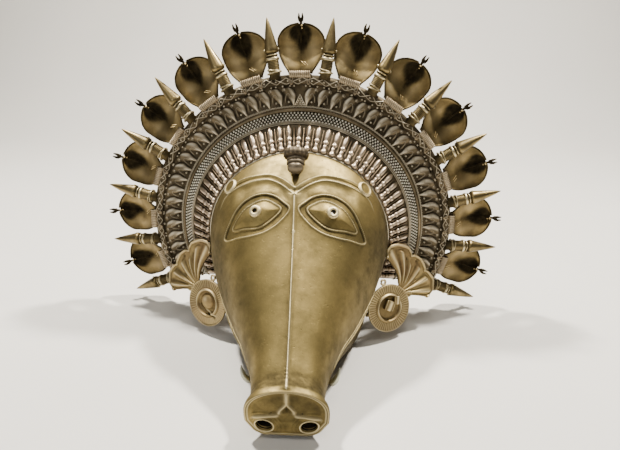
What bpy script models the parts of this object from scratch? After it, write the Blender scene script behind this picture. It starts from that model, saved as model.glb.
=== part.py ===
"""Ritual mask of a boar deity in cast brass: a hollow long-snouted face with a crown behind it.

The face is a thin shell, open at the back and along the mouth. The crown is one casting of ringed bands,
with cobra hoods and turned spikes set round its rim. The ears, the forehead bud and the tusks are pieces
of their own. The snout points along -Y, the ground is Z = 0 and the mask rests on its lower jaw.
"""

import math

import bmesh
import bpy
from mathutils import Matrix, Vector

GAP = 0.0003
WELD = 0.00002

FACE_WIDTH = 0.228
FACE_LENGTH = 0.276
FACE_WALL = 0.0035
CROWN_HEIGHT = 0.124
SNOUT_DRIFT = 0.004
BROW_FULLNESS = 0.86

CROWN_ARC = 118.5
COLLAR_SEAT = 0.054
COLLAR_SLOPE = 41.0
COLLAR_CLEARANCE = 0.0008
BALUSTER_BAND = 0.028
BALUSTER_COUNT = 47
BALUSTER_RELIEF = 0.0022
GRAIN_BAND = 0.014
RIB_WIDTH = 0.005
LEAF_BAND = 0.027
LEAF_COUNT = 38
LEAF_RELIEF = 0.0024
RIM_WIDTH = 0.011
RIM_DEPTH = 0.010
PLATE_THICKNESS = 0.0045
BEAD_LINE_HEIGHT = 0.0015
GRAIN_RELIEF = 0.0005
RIB_HEIGHT = 0.002
RIM_HEIGHT = 0.003
PLAIN_STEPS = 40

HOOD_LENGTH = 0.064
HOOD_SPACING = 0.009
HOOD_WALL = 0.0025
HOOD_NECK_WIDTH = 0.022
HOOD_LEAN = 0.012
HOOD_CUP = 0.003
SNAKE_HEAD_LENGTH = 0.012
SNAKE_HEAD_WIDTH = 0.008
SNAKE_HEAD_LEAN = 38.0
SPIKE_COUNT = 14
SPIKE_END_MARGIN = 4.5
SPIKE_LENGTH = 0.069
SPIKE_CONE_LENGTH = 0.041
SPIKE_CONE_DIAMETER = 0.0165
SPIKE_SHAFT_DIAMETER = 0.0125
SPIKE_RING_DIAMETER = 0.0175
SPIKE_LEAN = 11.0

RIDGE_RADIUS = 0.0016
BROW_RADIUS = 0.0019
EYELINE_RADIUS = 0.0013
LIP_RADIUS = 0.0021
PUPIL_DIAMETER = 0.0145
PUPIL_HOLE = 0.0055
PUPIL_HEIGHT = 0.0035
BOSS_DIAMETER = 0.016
BOSS_HEIGHT = 0.002
NOSTRIL_WIDTH = 0.0165
NOSTRIL_HEIGHT = 0.0115
NOSTRIL_LIP = 0.0025
NOSTRIL_PROUD = 0.0008
NOSTRIL_SPACING = 0.045
NOSTRIL_LEVEL_SHARE = 0.175
NOSTRIL_TILT = 18.0
NOSE_RIM_WIDTH = 0.0035
NOSE_RECESS = 0.002

EAR_ORNAMENT_DIAMETER = 0.062
EAR_ORNAMENT_THICKNESS = 0.005
EAR_BOSS_HEIGHT = 0.004
EAR_FAN_RADIUS = 0.068
EAR_FAN_THICKNESS = 0.004
EAR_FAN_PLEAT = 0.003
EAR_FAN_START = -14.0
EAR_FAN_SPREAD = 122.0
EAR_FAN_TAPER_SHARE = 0.28
EAR_LOBES = 6
EAR_LIFT = 0.012
EAR_CLEARANCE = 0.009
EAR_TILT = 14.0
EAR_YAW = 30.0
EAR_SETTING = 0.030
EAR_STUD_DIAMETER = 0.005

BUD_LENGTH = 0.036
BUD_CAP_DIAMETER = 0.030
BUD_TILT = 40.0
BUD_SEAT = 0.018

TUSK_LENGTH = 0.022
TUSK_DIAMETER = 0.008
TUSK_REACH_SHARE = 0.739
TUSK_LEVEL_SHARE = 0.3
TUSK_CLEARANCE = 0.001

HALF_FACE = FACE_WIDTH / 2
FACE_TOP = CROWN_HEIGHT + HALF_FACE
HOOD_BACK = HOOD_LEAN + HOOD_CUP + HOOD_WALL / 2
CROWN_Y = (FACE_LENGTH + NOSTRIL_PROUD - HOOD_BACK) / 2
SNOUT_LENGTH = FACE_LENGTH - COLLAR_SEAT
REAR_EDGE = -COLLAR_SEAT / SNOUT_LENGTH

# Crown radii, stacked outwards from the collar that hugs the face.
COLLAR_RADIUS = HALF_FACE + COLLAR_CLEARANCE
GRAIN_RADIUS = COLLAR_RADIUS + BALUSTER_BAND
RIB_RADIUS = GRAIN_RADIUS + GRAIN_BAND
LEAF_RADIUS = RIB_RADIUS + RIB_WIDTH
RIM_RADIUS = LEAF_RADIUS + LEAF_BAND
OUTER_RADIUS = RIM_RADIUS + RIM_WIDTH
COLLAR_RISE = math.tan(math.radians(COLLAR_SLOPE))
PLATE_FRONT = COLLAR_SEAT - (LEAF_RADIUS - COLLAR_RADIUS) * COLLAR_RISE

# Spikes and hoods take turns round the rim, a spike at each end.
HOOD_COUNT = SPIKE_COUNT - 1
ELEMENT_STEP = (CROWN_ARC - SPIKE_END_MARGIN) / (SPIKE_COUNT - 1)
HOOD_WIDTH = 2 * (OUTER_RADIUS + HOOD_LENGTH / 2) * math.sin(math.radians(ELEMENT_STEP)) - HOOD_SPACING
HOOD_SEAT = PLATE_FRONT - RIM_DEPTH + HOOD_WALL * 0.6

# The face in sections from the crown's collar to the nose. Reach is a share of the snout's length in front
# of the collar, widths are shares of the half width, the top is a share of the face's height, and the other
# heights are shares of the crown's. Behind the collar the first section runs straight back.
REAR_LIP_SHARE = 0.54
REAR_LIP = math.sqrt(1 - ((1 - REAR_LIP_SHARE) * CROWN_HEIGHT / HALF_FACE) ** 2)
FACE_SECTIONS = (
    # reach, top, half width, its height, lip width, height, jaw width, height, sole width, height
    (0.000, 1.000, 1.000, 1.000, REAR_LIP, REAR_LIP_SHARE, 0.835, 0.400, 0.740, 0.000),
    (0.073, 0.968, 0.978, 0.968, 0.850, 0.524, 0.815, 0.379, 0.720, 0.000),
    (0.145, 0.924, 0.939, 0.911, 0.833, 0.508, 0.780, 0.339, 0.684, 0.000),
    (0.243, 0.865, 0.864, 0.823, 0.798, 0.484, 0.737, 0.290, 0.623, 0.000),
    (0.365, 0.735, 0.746, 0.694, 0.719, 0.452, 0.605, 0.242, 0.509, 0.000),
    (0.500, 0.611, 0.627, 0.597, 0.614, 0.427, 0.482, 0.218, 0.377, 0.000),
    (0.644, 0.487, 0.491, 0.516, 0.478, 0.395, 0.377, 0.194, 0.263, 0.000),
    (0.792, 0.374, 0.373, 0.387, 0.360, 0.274, 0.307, 0.153, 0.202, 0.020),
    (0.919, 0.286, 0.329, 0.306, 0.316, 0.202, 0.272, 0.113, 0.193, 0.050),
    (0.955, 0.268, 0.340, 0.286, 0.330, 0.186, 0.285, 0.105, 0.193, 0.050),
    (0.978, 0.256, 0.370, 0.270, 0.364, 0.178, 0.300, 0.092, 0.193, 0.045),
    (1.000, 0.248, 0.377, 0.262, 0.370, 0.178, 0.300, 0.090, 0.193, 0.042),
)
FACE_RINGS = (REAR_EDGE, 0.0, 0.073, 0.136, 0.205, 0.267, 0.329, 0.403, 0.490, 0.577, 0.652, 0.727, 0.826,
              0.913, 0.963, 1.0)
MOUTH_START_SHARE = 0.192
MOUTH_END_SHARE = 0.727
DRIFT_START_SHARE = 0.25
BROW_EASE_SHARE = 0.25
UPPER_STEPS = 7
CHEEK_SHARES = (0.4, 0.75)
JAW_BULGE = (0.62, 0.45)
LIP_OVERLAP_SHARE = 0.025

# Eye and brow lines in front view. Each point is a share of the half width and of the face's height.
EYE_OUTER_LINE = ((0.046, 0.797), (0.112, 0.825), (0.20, 0.845), (0.31, 0.848), (0.44, 0.828), (0.56, 0.785),
                  (0.65, 0.720), (0.72, 0.621), (0.56, 0.653), (0.42, 0.678), (0.28, 0.704), (0.145, 0.744))
EYE_INNER_LINE = ((0.133, 0.793), (0.203, 0.817), (0.303, 0.826), (0.42, 0.805), (0.54, 0.760),
                  (0.635, 0.678), (0.50, 0.696), (0.36, 0.713), (0.25, 0.742))
BROW_LOWER_LINE = ((0.0, 0.855), (0.12, 0.885), (0.26, 0.898), (0.40, 0.888), (0.54, 0.862), (0.67, 0.823),
                   (0.77, 0.775), (0.83, 0.710))
BROW_UPPER_LINE = ((0.0, 0.880), (0.12, 0.905), (0.27, 0.916), (0.42, 0.903), (0.57, 0.877), (0.70, 0.835),
                   (0.80, 0.790))
PUPIL_PLACE = (0.38, 0.774)
BOSS_PLACE = (0.765, 0.803)
RIDGE_LINE = (0.852, 0.77, 0.68, 0.58, 0.48, 0.40, 0.33, 0.285)

# The cobra hood's free form: shares of its own height and width.
HOOD_ROWS = (0.0, 0.18, 0.36, 0.5, 0.8, 1.0)
HOOD_NECK_SHARE = 0.12
HOOD_BEND_SHARE = 0.35
HOOD_CREST_SHARE = 0.2
HOOD_SLOPE = math.atan2(HOOD_LEAN + HOOD_SEAT, HOOD_BEND_SHARE * HOOD_LENGTH)
HOOD_FOOT = OUTER_RADIUS + GAP + HOOD_WALL / 2 * math.sin(HOOD_SLOPE)

mask_parts = bpy.data.collections.new("ritual_deity_mask")
cutter_parts = bpy.data.collections.new("cutters")


def clear_scene():
    for item in list(bpy.data.objects):
        bpy.data.objects.remove(item, do_unlink=True)
    bpy.context.scene.collection.children.link(mask_parts)
    bpy.context.scene.collection.children.link(cutter_parts)


def brass(name, colour, roughness):
    material = bpy.data.materials.new(name)
    material.use_nodes = True
    shader = material.node_tree.nodes["Principled BSDF"]
    shader.inputs["Base Color"].default_value = (*colour, 1.0)
    shader.inputs["Roughness"].default_value = roughness
    shader.inputs["Metallic"].default_value = 1.0
    material.diffuse_color = (*colour, 1.0)
    return material


def add_part(name, mesh, material):
    mesh.materials.clear()
    mesh.materials.append(material)
    part = bpy.data.objects.new(name, mesh)
    mask_parts.objects.link(part)
    return part


def add_cutter(name, mesh):
    cutter = bpy.data.objects.new(name, mesh)
    cutter_parts.objects.link(cutter)
    cutter.hide_render = True
    cutter.display_type = "WIRE"
    return cutter


def mesh_from(bm, name):
    mesh = bpy.data.meshes.new(name)
    bm.normal_update()
    bm.to_mesh(mesh)
    bm.free()
    return mesh


def face_outwards(bm, direction):
    """Turns an open sheet so that the face lying furthest in a direction also looks that way."""
    bmesh.ops.recalc_face_normals(bm, faces=bm.faces)
    bm.normal_update()
    furthest = max(bm.faces, key=lambda face: face.calc_center_median().dot(direction))
    if furthest.normal.dot(direction) < 0:
        bmesh.ops.reverse_faces(bm, faces=bm.faces)


def combine(part, tool, operation):
    modifier = part.modifiers.new(tool.name, "BOOLEAN")
    modifier.operation = operation
    modifier.solver = "EXACT"
    modifier.use_self = True
    modifier.object = tool


def thicken(part, thickness, offset):
    wall = part.modifiers.new("wall", "SOLIDIFY")
    wall.thickness = thickness
    wall.offset = offset
    return wall


def outline_mesh(name, profile):
    """The outer side of a turned piece: (radius, height) points from its top down to its foot."""
    mesh = bpy.data.meshes.new(name)
    points = [(radius, 0.0, height) for radius, height in profile]
    mesh.from_pydata(points, [(index, index + 1) for index in range(len(points) - 1)], [])
    return mesh


def turn(part, steps):
    screw = part.modifiers.new("turned", "SCREW")
    screw.axis = "Z"
    screw.steps = steps
    screw.render_steps = steps
    screw.use_merge_vertices = True
    screw.merge_threshold = WELD
    screw.use_smooth_shade = True


def rod(name, points, radius, closed=False, sides=0, taper=None):
    """A bent rod through the points, as a mesh."""
    curve = bpy.data.curves.new(name, "CURVE")
    curve.dimensions = "3D"
    curve.bevel_depth = radius
    curve.bevel_resolution = sides
    curve.use_fill_caps = not closed
    spline = curve.splines.new("POLY")
    spline.points.add(len(points) - 1)
    for index, point in enumerate(points):
        spline.points[index].co = (*point, 1.0)
        if taper:
            spline.points[index].radius = taper[index]
    spline.use_cyclic_u = closed
    guide = bpy.data.objects.new(name, curve)
    bpy.context.scene.collection.objects.link(guide)
    bpy.context.view_layer.update()
    evaluated = guide.evaluated_get(bpy.context.evaluated_depsgraph_get())
    mesh = bpy.data.meshes.new_from_object(evaluated)
    bpy.data.objects.remove(guide, do_unlink=True)
    bm = bmesh.new()
    bm.from_mesh(mesh)
    bmesh.ops.remove_doubles(bm, verts=bm.verts, dist=WELD)
    bmesh.ops.recalc_face_normals(bm, faces=bm.faces)
    bm.to_mesh(mesh)
    bm.free()
    return mesh


def clamp(value):
    return min(1.0, max(0.0, value))


def section_at(reach):
    """The nine sizes of the face's section at a reach along the snout, eased between the named sections."""
    rows = FACE_SECTIONS
    reach = clamp(reach)
    index = max(row for row in range(len(rows) - 1) if rows[row][0] <= reach)
    before, after = rows[index], rows[index + 1]
    span = after[0] - before[0]
    t = (reach - before[0]) / span

    def slope(row, column):
        if row == 0:
            return 0.0
        low, high = rows[row - 1], rows[min(row + 1, len(rows) - 1)]
        return (high[column] - low[column]) / (high[0] - low[0])

    sizes = []
    for column in range(1, 10):
        start, end = before[column], after[column]
        start_slope, end_slope = slope(index, column) * span, slope(index + 1, column) * span
        sizes.append(start * (2 * t**3 - 3 * t**2 + 1) + start_slope * (t**3 - 2 * t**2 + t)
                     + end * (3 * t**2 - 2 * t**3) + end_slope * (t**3 - t**2))
    top, half, half_at, lip, lip_at, jaw, jaw_at, sole, sole_at = sizes
    return (top * FACE_TOP, half * HALF_FACE, half_at * CROWN_HEIGHT, lip * HALF_FACE, lip_at * CROWN_HEIGHT,
            jaw * HALF_FACE, jaw_at * CROWN_HEIGHT, sole * HALF_FACE, max(sole_at, 0.0) * CROWN_HEIGHT)


def drift(reach):
    """How far the snout strays to one side at a reach."""
    return SNOUT_DRIFT * clamp((reach - DRIFT_START_SHARE) / (1 - DRIFT_START_SHARE))


def face_y(reach):
    return CROWN_Y - COLLAR_SEAT - reach * SNOUT_LENGTH


def upper_height(x, reach):
    """Height of the face's upper surface at x across and a reach along it."""
    top, half, half_at = section_at(reach)[:3]
    angle = math.asin(clamp(abs(x) / half))
    power = 1.0 + (BROW_FULLNESS - 1.0) * clamp(reach / BROW_EASE_SHARE)
    return half_at + (top - half_at) * math.cos(angle) ** power


def on_face(x, z):
    """The point of the upper surface that shows at x, z in front view."""
    low, high = REAR_EDGE / 8, 1.0
    for _ in range(40):
        middle = (low + high) / 2
        if upper_height(x, middle) > z and abs(x) < section_at(middle)[1]:
            low = middle
        else:
            high = middle
    reach = (low + high) / 2
    return Vector((x + drift(reach), face_y(reach), upper_height(x, reach)))


def face_normal(x, z):
    step = 0.002
    across = on_face(x + step, z) - on_face(x - step, z)
    upwards = on_face(x, z + step) - on_face(x, z - step)
    return across.cross(upwards).normalized()


def half_ring(reach):
    """One side of the face's outline at a reach, from the top down to the middle of the sole."""
    top, half, half_at, lip, lip_at, jaw, jaw_at, sole, sole_at = section_at(reach)
    points = []
    for step in range(UPPER_STEPS):
        x = half * math.sin(math.pi / 2 * step / UPPER_STEPS)
        points.append((x, upper_height(x, reach)))
    points.append((half, half_at))
    for share in CHEEK_SHARES:
        bulge = math.sqrt(1 - share**2 * (1 - (lip / half) ** 2))
        points.append((half * bulge, half_at + (lip_at - half_at) * share))
    points.append((lip, lip_at))
    points.append((jaw, jaw_at))
    points.append((sole + JAW_BULGE[0] * (jaw - sole), sole_at + JAW_BULGE[1] * (jaw_at - sole_at)))
    points.append((sole, sole_at))
    points.append((0.0, sole_at))
    return points


def face_surface():
    """The face as an open sheet: rings from back to nose, the nose's front, no faces in the mouth."""
    bm = bmesh.new()
    rings = []
    for reach in FACE_RINGS:
        half = half_ring(reach)
        outline = half + [(-x, z) for x, z in reversed(half[1:-1])]
        rings.append([bm.verts.new((x + drift(reach), face_y(reach), z)) for x, z in outline])
    count = len(rings[0])
    lip = UPPER_STEPS + 1 + len(CHEEK_SHARES)
    for row, (back, front) in enumerate(zip(rings, rings[1:])):
        middle = (FACE_RINGS[row] + FACE_RINGS[row + 1]) / 2
        for column in range(count):
            after = (column + 1) % count
            if column in (lip, count - lip - 1) and MOUTH_START_SHARE < middle < MOUTH_END_SHARE:
                continue
            bm.faces.new((back[column], back[after], front[after], front[column]))
    nose = rings[-1]
    middle = sum((v.co for v in nose), Vector()) / count
    recess = Vector((0, NOSE_RECESS, 0))
    rim = []
    floor = []
    for v in nose:
        inward = (middle - v.co).normalized()
        rim.append(bm.verts.new(v.co + inward * NOSE_RIM_WIDTH))
        floor.append(bm.verts.new(v.co + inward * (NOSE_RIM_WIDTH + NOSE_RECESS) + recess))
    for outer, inner in ((nose, rim), (rim, floor)):
        for column in range(count):
            after = (column + 1) % count
            bm.faces.new((outer[column], outer[after], inner[after], inner[column]))
    centre = bm.verts.new(middle + recess)
    for column in range(count):
        bm.faces.new((floor[column], floor[(column + 1) % count], centre))
    face_outwards(bm, Vector((0, 0, 1)))
    return mesh_from(bm, "face_shell")


def front_place(place, side):
    """A share of the half width and of the height, as x and z in front view."""
    return side * place[0] * HALF_FACE, place[1] * FACE_TOP


def disc_on_face(name, place, side, diameter, above, below):
    """A round tool square on the face's surface, from above it to below it."""
    x, z = front_place(place, side)
    normal = face_normal(x, z)
    bm = bmesh.new()
    bmesh.ops.create_cone(bm, cap_ends=True, segments=12, radius1=diameter / 2, radius2=diameter / 2 * 0.92,
                          depth=above + below)
    square = normal.to_track_quat("Z", "Y").to_matrix().to_4x4()
    bm.transform(Matrix.Translation(on_face(x, z) + normal * (above - below) / 2) @ square)
    return add_cutter(name, mesh_from(bm, name))


def nostril(name, side, width, height, proud, sunk):
    """An oval plug at a nostril's place, its outer end raised, from proud of the nose to sunk in it."""
    bm = bmesh.new()
    bmesh.ops.create_cone(bm, cap_ends=True, segments=12, radius1=0.5, radius2=0.5, depth=1.0)
    size = Matrix.Diagonal((width, height, proud + sunk, 1.0))
    tilt = Matrix.Rotation(math.radians(NOSTRIL_TILT * side), 4, "Z")
    forwards = Matrix.Rotation(math.radians(90.0), 4, "X")
    place = Vector((side * NOSTRIL_SPACING / 2 + drift(1.0), face_y(1.0) + (sunk - proud) / 2,
                    CROWN_HEIGHT * NOSTRIL_LEVEL_SHARE))
    bm.transform(Matrix.Translation(place) @ forwards @ tilt @ size)
    return add_cutter(name, mesh_from(bm, name))


def make_face(material):
    face = add_part("face_shell", face_surface(), material)
    thicken(face, FACE_WALL, -1.0).use_even_offset = True
    ridge = [on_face(0.0, FACE_TOP * share) - Vector((0, 0, RIDGE_RADIUS * 0.3)) for share in RIDGE_LINE]
    combine(face, add_cutter("ridge", rod("ridge", ridge, RIDGE_RADIUS)), "UNION")
    for side, hand in ((-1, "left"), (1, "right")):
        for label, places, closed, radius in (("eye_outer", EYE_OUTER_LINE, True, EYELINE_RADIUS),
                                              ("eye_inner", EYE_INNER_LINE, True, EYELINE_RADIUS),
                                              ("brow_lower", BROW_LOWER_LINE, False, BROW_RADIUS),
                                              ("brow_upper", BROW_UPPER_LINE, False, BROW_RADIUS)):
            name = f"{label}_{hand}"
            line = [on_face(*front_place(place, side)) for place in places]
            combine(face, add_cutter(name, rod(name, line, radius, closed)), "UNION")
        root = FACE_WALL * 0.7
        boss = disc_on_face(f"boss_{hand}", BOSS_PLACE, side, BOSS_DIAMETER, BOSS_HEIGHT, root)
        pupil = disc_on_face(f"pupil_{hand}", PUPIL_PLACE, side, PUPIL_DIAMETER, PUPIL_HEIGHT, root)
        hole = disc_on_face(f"pupil_hole_{hand}", PUPIL_PLACE, side, PUPIL_HOLE, PUPIL_HEIGHT * 3,
                            FACE_WALL * 3)
        combine(face, boss, "UNION")
        combine(face, pupil, "UNION")
        combine(face, hole, "DIFFERENCE")
        lip = []
        for reach in FACE_RINGS:
            if MOUTH_START_SHARE <= reach + LIP_OVERLAP_SHARE and reach < MOUTH_END_SHARE:
                sizes = section_at(reach)
                lip.append((side * sizes[3] + drift(reach), face_y(reach), sizes[4]))
        combine(face, add_cutter(f"lip_{hand}", rod(f"lip_{hand}", lip, LIP_RADIUS)), "UNION")
        rim = nostril(f"nostril_rim_{hand}", side, NOSTRIL_WIDTH + NOSTRIL_LIP * 2,
                      NOSTRIL_HEIGHT + NOSTRIL_LIP * 2, NOSTRIL_PROUD, NOSE_RECESS + FACE_WALL * 0.6)
        opening = nostril(f"nostril_{hand}", side, NOSTRIL_WIDTH, NOSTRIL_HEIGHT,
                          NOSTRIL_PROUD + FACE_WALL * 2, NOSE_RECESS + FACE_WALL * 4)
        combine(face, rim, "UNION")
        combine(face, opening, "DIFFERENCE")


def zip_rings(bm, first, second):
    """Faces between two arcs that may have different numbers of points."""
    first_last = len(first) - 1
    second_last = len(second) - 1
    i = j = 0
    while i < first_last or j < second_last:
        step = (i + 1) * second_last - (j + 1) * first_last
        if i < first_last and j < second_last and step == 0:
            bm.faces.new((first[i], first[i + 1], second[j + 1], second[j]))
            i += 1
            j += 1
        elif j == second_last or (i < first_last and step < 0):
            bm.faces.new((first[i], first[i + 1], second[j]))
            i += 1
        else:
            bm.faces.new((first[i], second[j + 1], second[j]))
            j += 1


def crown_forward(radius):
    """How far the collar and the plate stand in front of the crown's plane at a radius."""
    return max(PLATE_FRONT, COLLAR_SEAT - (radius - COLLAR_RADIUS) * COLLAR_RISE)


def crown_rings():
    """The crown's section as rings: radius, how far forward, pieces round, relief along it and its lean."""
    def plain(index, share):
        return 0.0

    def balusters(index, share):
        return BALUSTER_RELIEF * (1.0 if index % 2 else -0.4)

    def leaves(strength, curl):
        def relief(index, share):
            phase = (abs(share - 0.5) * LEAF_COUNT + curl) % 1.0
            return LEAF_RELIEF * strength * (1.0 - abs(phase - 0.5) * 2)
        return relief

    slope = math.radians(COLLAR_SLOPE)
    back = PLATE_FRONT - PLATE_THICKNESS
    rings = [(COLLAR_RADIUS, COLLAR_SEAT, BALUSTER_COUNT * 2, plain, slope)]
    for share in (0.1, 0.92):
        radius = COLLAR_RADIUS + BALUSTER_BAND * share
        rings.append((radius, crown_forward(radius), BALUSTER_COUNT * 2, balusters, slope))
    for radius, raised in ((GRAIN_RADIUS, BEAD_LINE_HEIGHT),
                           (GRAIN_RADIUS + GRAIN_BAND * 0.15, GRAIN_RELIEF),
                           (RIB_RADIUS - GRAIN_BAND * 0.15, GRAIN_RELIEF),
                           (RIB_RADIUS + RIB_WIDTH / 2, RIB_HEIGHT)):
        rings.append((radius, crown_forward(radius) + raised, PLAIN_STEPS, plain, 0.0))
    for share, strength, curl in ((0.0, 0.2, 0.0), (0.3, 1.0, 0.1), (0.65, 1.0, 0.45), (0.95, 0.5, 0.9)):
        radius = LEAF_RADIUS + LEAF_BAND * share
        rings.append((radius, PLATE_FRONT, LEAF_COUNT * 3, leaves(strength, curl), 0.0))
    for radius, forward in ((RIM_RADIUS + RIM_WIDTH * 0.15, PLATE_FRONT + RIM_HEIGHT * 0.8),
                            (RIM_RADIUS + RIM_WIDTH * 0.6, PLATE_FRONT + RIM_HEIGHT),
                            (OUTER_RADIUS, PLATE_FRONT),
                            (OUTER_RADIUS, PLATE_FRONT - RIM_DEPTH),
                            (RIM_RADIUS, PLATE_FRONT - RIM_DEPTH),
                            (RIM_RADIUS - PLATE_THICKNESS, back),
                            (LEAF_RADIUS, back),
                            (COLLAR_RADIUS, COLLAR_SEAT - PLATE_THICKNESS / math.cos(slope))):
        rings.append((radius, forward, PLAIN_STEPS, plain, 0.0))
    return rings


def make_crown(material):
    bm = bmesh.new()
    rings = []
    for radius, forward, pieces, relief, lean in crown_rings():
        ring = []
        for index in range(pieces + 1):
            share = index / pieces
            angle = math.radians(CROWN_ARC) * (2 * share - 1)
            lift = relief(index, share)
            out = radius + lift * math.sin(lean)
            ring.append(bm.verts.new((out * math.sin(angle), CROWN_Y - forward - lift * math.cos(lean),
                                      CROWN_HEIGHT + out * math.cos(angle))))
        rings.append(ring)
    for first, second in zip(rings, rings[1:] + rings[:1]):
        zip_rings(bm, first, second)
    bm.faces.new([ring[0] for ring in rings])
    bm.faces.new([ring[-1] for ring in reversed(rings)])
    bmesh.ops.triangulate(bm, faces=[face for face in bm.faces if len(face.verts) > 4])
    bmesh.ops.recalc_face_normals(bm, faces=bm.faces)
    add_part("crown_halo", mesh_from(bm, "crown_halo"), material)


def crown_place(angle):
    """From a piece drawn upright over the crown's centre to its place round the crown."""
    return Matrix.Translation((0.0, CROWN_Y, CROWN_HEIGHT)) @ Matrix.Rotation(math.radians(angle), 4, "Y")


def hood_half_width(share):
    """Half the hood's width from its foot, 0, to its top, 1."""
    neck = HOOD_NECK_WIDTH / 2
    swell = (share - HOOD_NECK_SHARE) / (1 - HOOD_NECK_SHARE)
    if swell < 0:
        return neck
    width = 0.9 * neck * (1 - swell) + HOOD_WIDTH / 2 * math.sin(math.pi * swell**1.25) ** 0.72
    return max(width, HOOD_WIDTH * HOOD_CREST_SHARE)


def hood_sheet():
    """The hood's middle surface: neck, lean backwards and dish."""
    bm = bmesh.new()
    rows = len(HOOD_ROWS) - 1
    bmesh.ops.create_grid(bm, x_segments=2, y_segments=rows, size=1.0)
    for v in bm.verts:
        across = round(v.co.x)
        share = HOOD_ROWS[round((v.co.y + 1) / 2 * rows)]
        lean = (HOOD_LEAN + HOOD_SEAT) * min(share / HOOD_BEND_SHARE, 1.0) - HOOD_SEAT
        dish = HOOD_CUP * (1 - abs(across)) * math.sin(math.pi * share)
        v.co = Vector((across * hood_half_width(share), lean + dish, HOOD_FOOT + share * HOOD_LENGTH))
    bmesh.ops.recalc_face_normals(bm, faces=bm.faces)
    return mesh_from(bm, "cobra_hood")


def snake_head():
    """The small head that looks up and forwards over the hood's top."""
    bm = bmesh.new()
    bmesh.ops.create_cone(bm, cap_ends=True, segments=5, radius1=SNAKE_HEAD_WIDTH / 2,
                          radius2=SNAKE_HEAD_WIDTH / 5, depth=SNAKE_HEAD_LENGTH)
    lean = Matrix.Rotation(math.radians(SNAKE_HEAD_LEAN), 4, "X")
    top = Vector((0.0, HOOD_LEAN - SNAKE_HEAD_LENGTH * 0.28,
                  HOOD_FOOT + HOOD_LENGTH + SNAKE_HEAD_LENGTH * 0.11))
    bm.transform(Matrix.Translation(top) @ lean)
    return mesh_from(bm, "snake_head")


def make_hoods(material):
    sheet = hood_sheet()
    head = snake_head()
    for number in range(HOOD_COUNT):
        place = crown_place((number - (HOOD_COUNT - 1) / 2) * 2 * ELEMENT_STEP)
        hood = add_part(f"cobra_hood_{number + 1:02d}", sheet, material)
        hood.matrix_world = place
        thicken(hood, HOOD_WALL, 0.0)
        tool = add_cutter(f"snake_head_{number + 1:02d}", head)
        tool.matrix_world = place
        combine(hood, tool, "UNION")


def make_spikes(material):
    shaft = SPIKE_SHAFT_DIAMETER / 2
    ring = SPIKE_RING_DIAMETER / 2
    cone = SPIKE_CONE_DIAMETER / 2
    neck = SPIKE_LENGTH - SPIKE_CONE_LENGTH
    mesh = outline_mesh("spike", ((0.0, SPIKE_LENGTH), (cone, neck), (shaft * 0.85, neck * 0.86),
                                  (ring, neck * 0.68), (shaft, neck * 0.5), (shaft * 1.1, 0.0), (0.0, 0.0)))
    lean = Matrix.Rotation(math.radians(-SPIKE_LEAN), 4, "X")
    sunk = SPIKE_SHAFT_DIAMETER / 2 * 1.1 * math.sin(math.radians(SPIKE_LEAN))
    foot = Matrix.Translation((0.0, -PLATE_FRONT, OUTER_RADIUS + GAP + sunk))
    for number in range(SPIKE_COUNT):
        spike = add_part(f"spike_{number + 1:02d}", mesh, material)
        spike.matrix_world = crown_place((number - (SPIKE_COUNT - 1) / 2) * 2 * ELEMENT_STEP) @ foot @ lean
        turn(spike, 8)


def ear_fan(side):
    """The pleated fan of leaves, spread upwards and outwards from its hub."""
    bm = bmesh.new()
    pleats = EAR_LOBES * 2
    bmesh.ops.create_grid(bm, x_segments=pleats, y_segments=2, size=1.0)
    hub = EAR_FAN_RADIUS * 0.1
    for v in bm.verts:
        column = round((v.co.x + 1) / 2 * pleats)
        row = (v.co.y + 1) / 2
        crest = column % 2 == 1
        angle = math.radians(EAR_FAN_START + EAR_FAN_SPREAD * column / pleats)
        edge = EAR_FAN_RADIUS * (1.0 - EAR_FAN_TAPER_SHARE * column / pleats)
        edge *= 1.0 if crest and row == 1 else 0.95 - 0.05 * row
        reach = hub + (edge - hub) * row
        v.co = Vector((side * reach * math.sin(angle), reach * math.cos(angle),
                       EAR_FAN_PLEAT * row * (1.0 if crest else -0.3)))
    bmesh.ops.recalc_face_normals(bm, faces=bm.faces)
    return mesh_from(bm, f"ear_fan_{side}")


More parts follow.
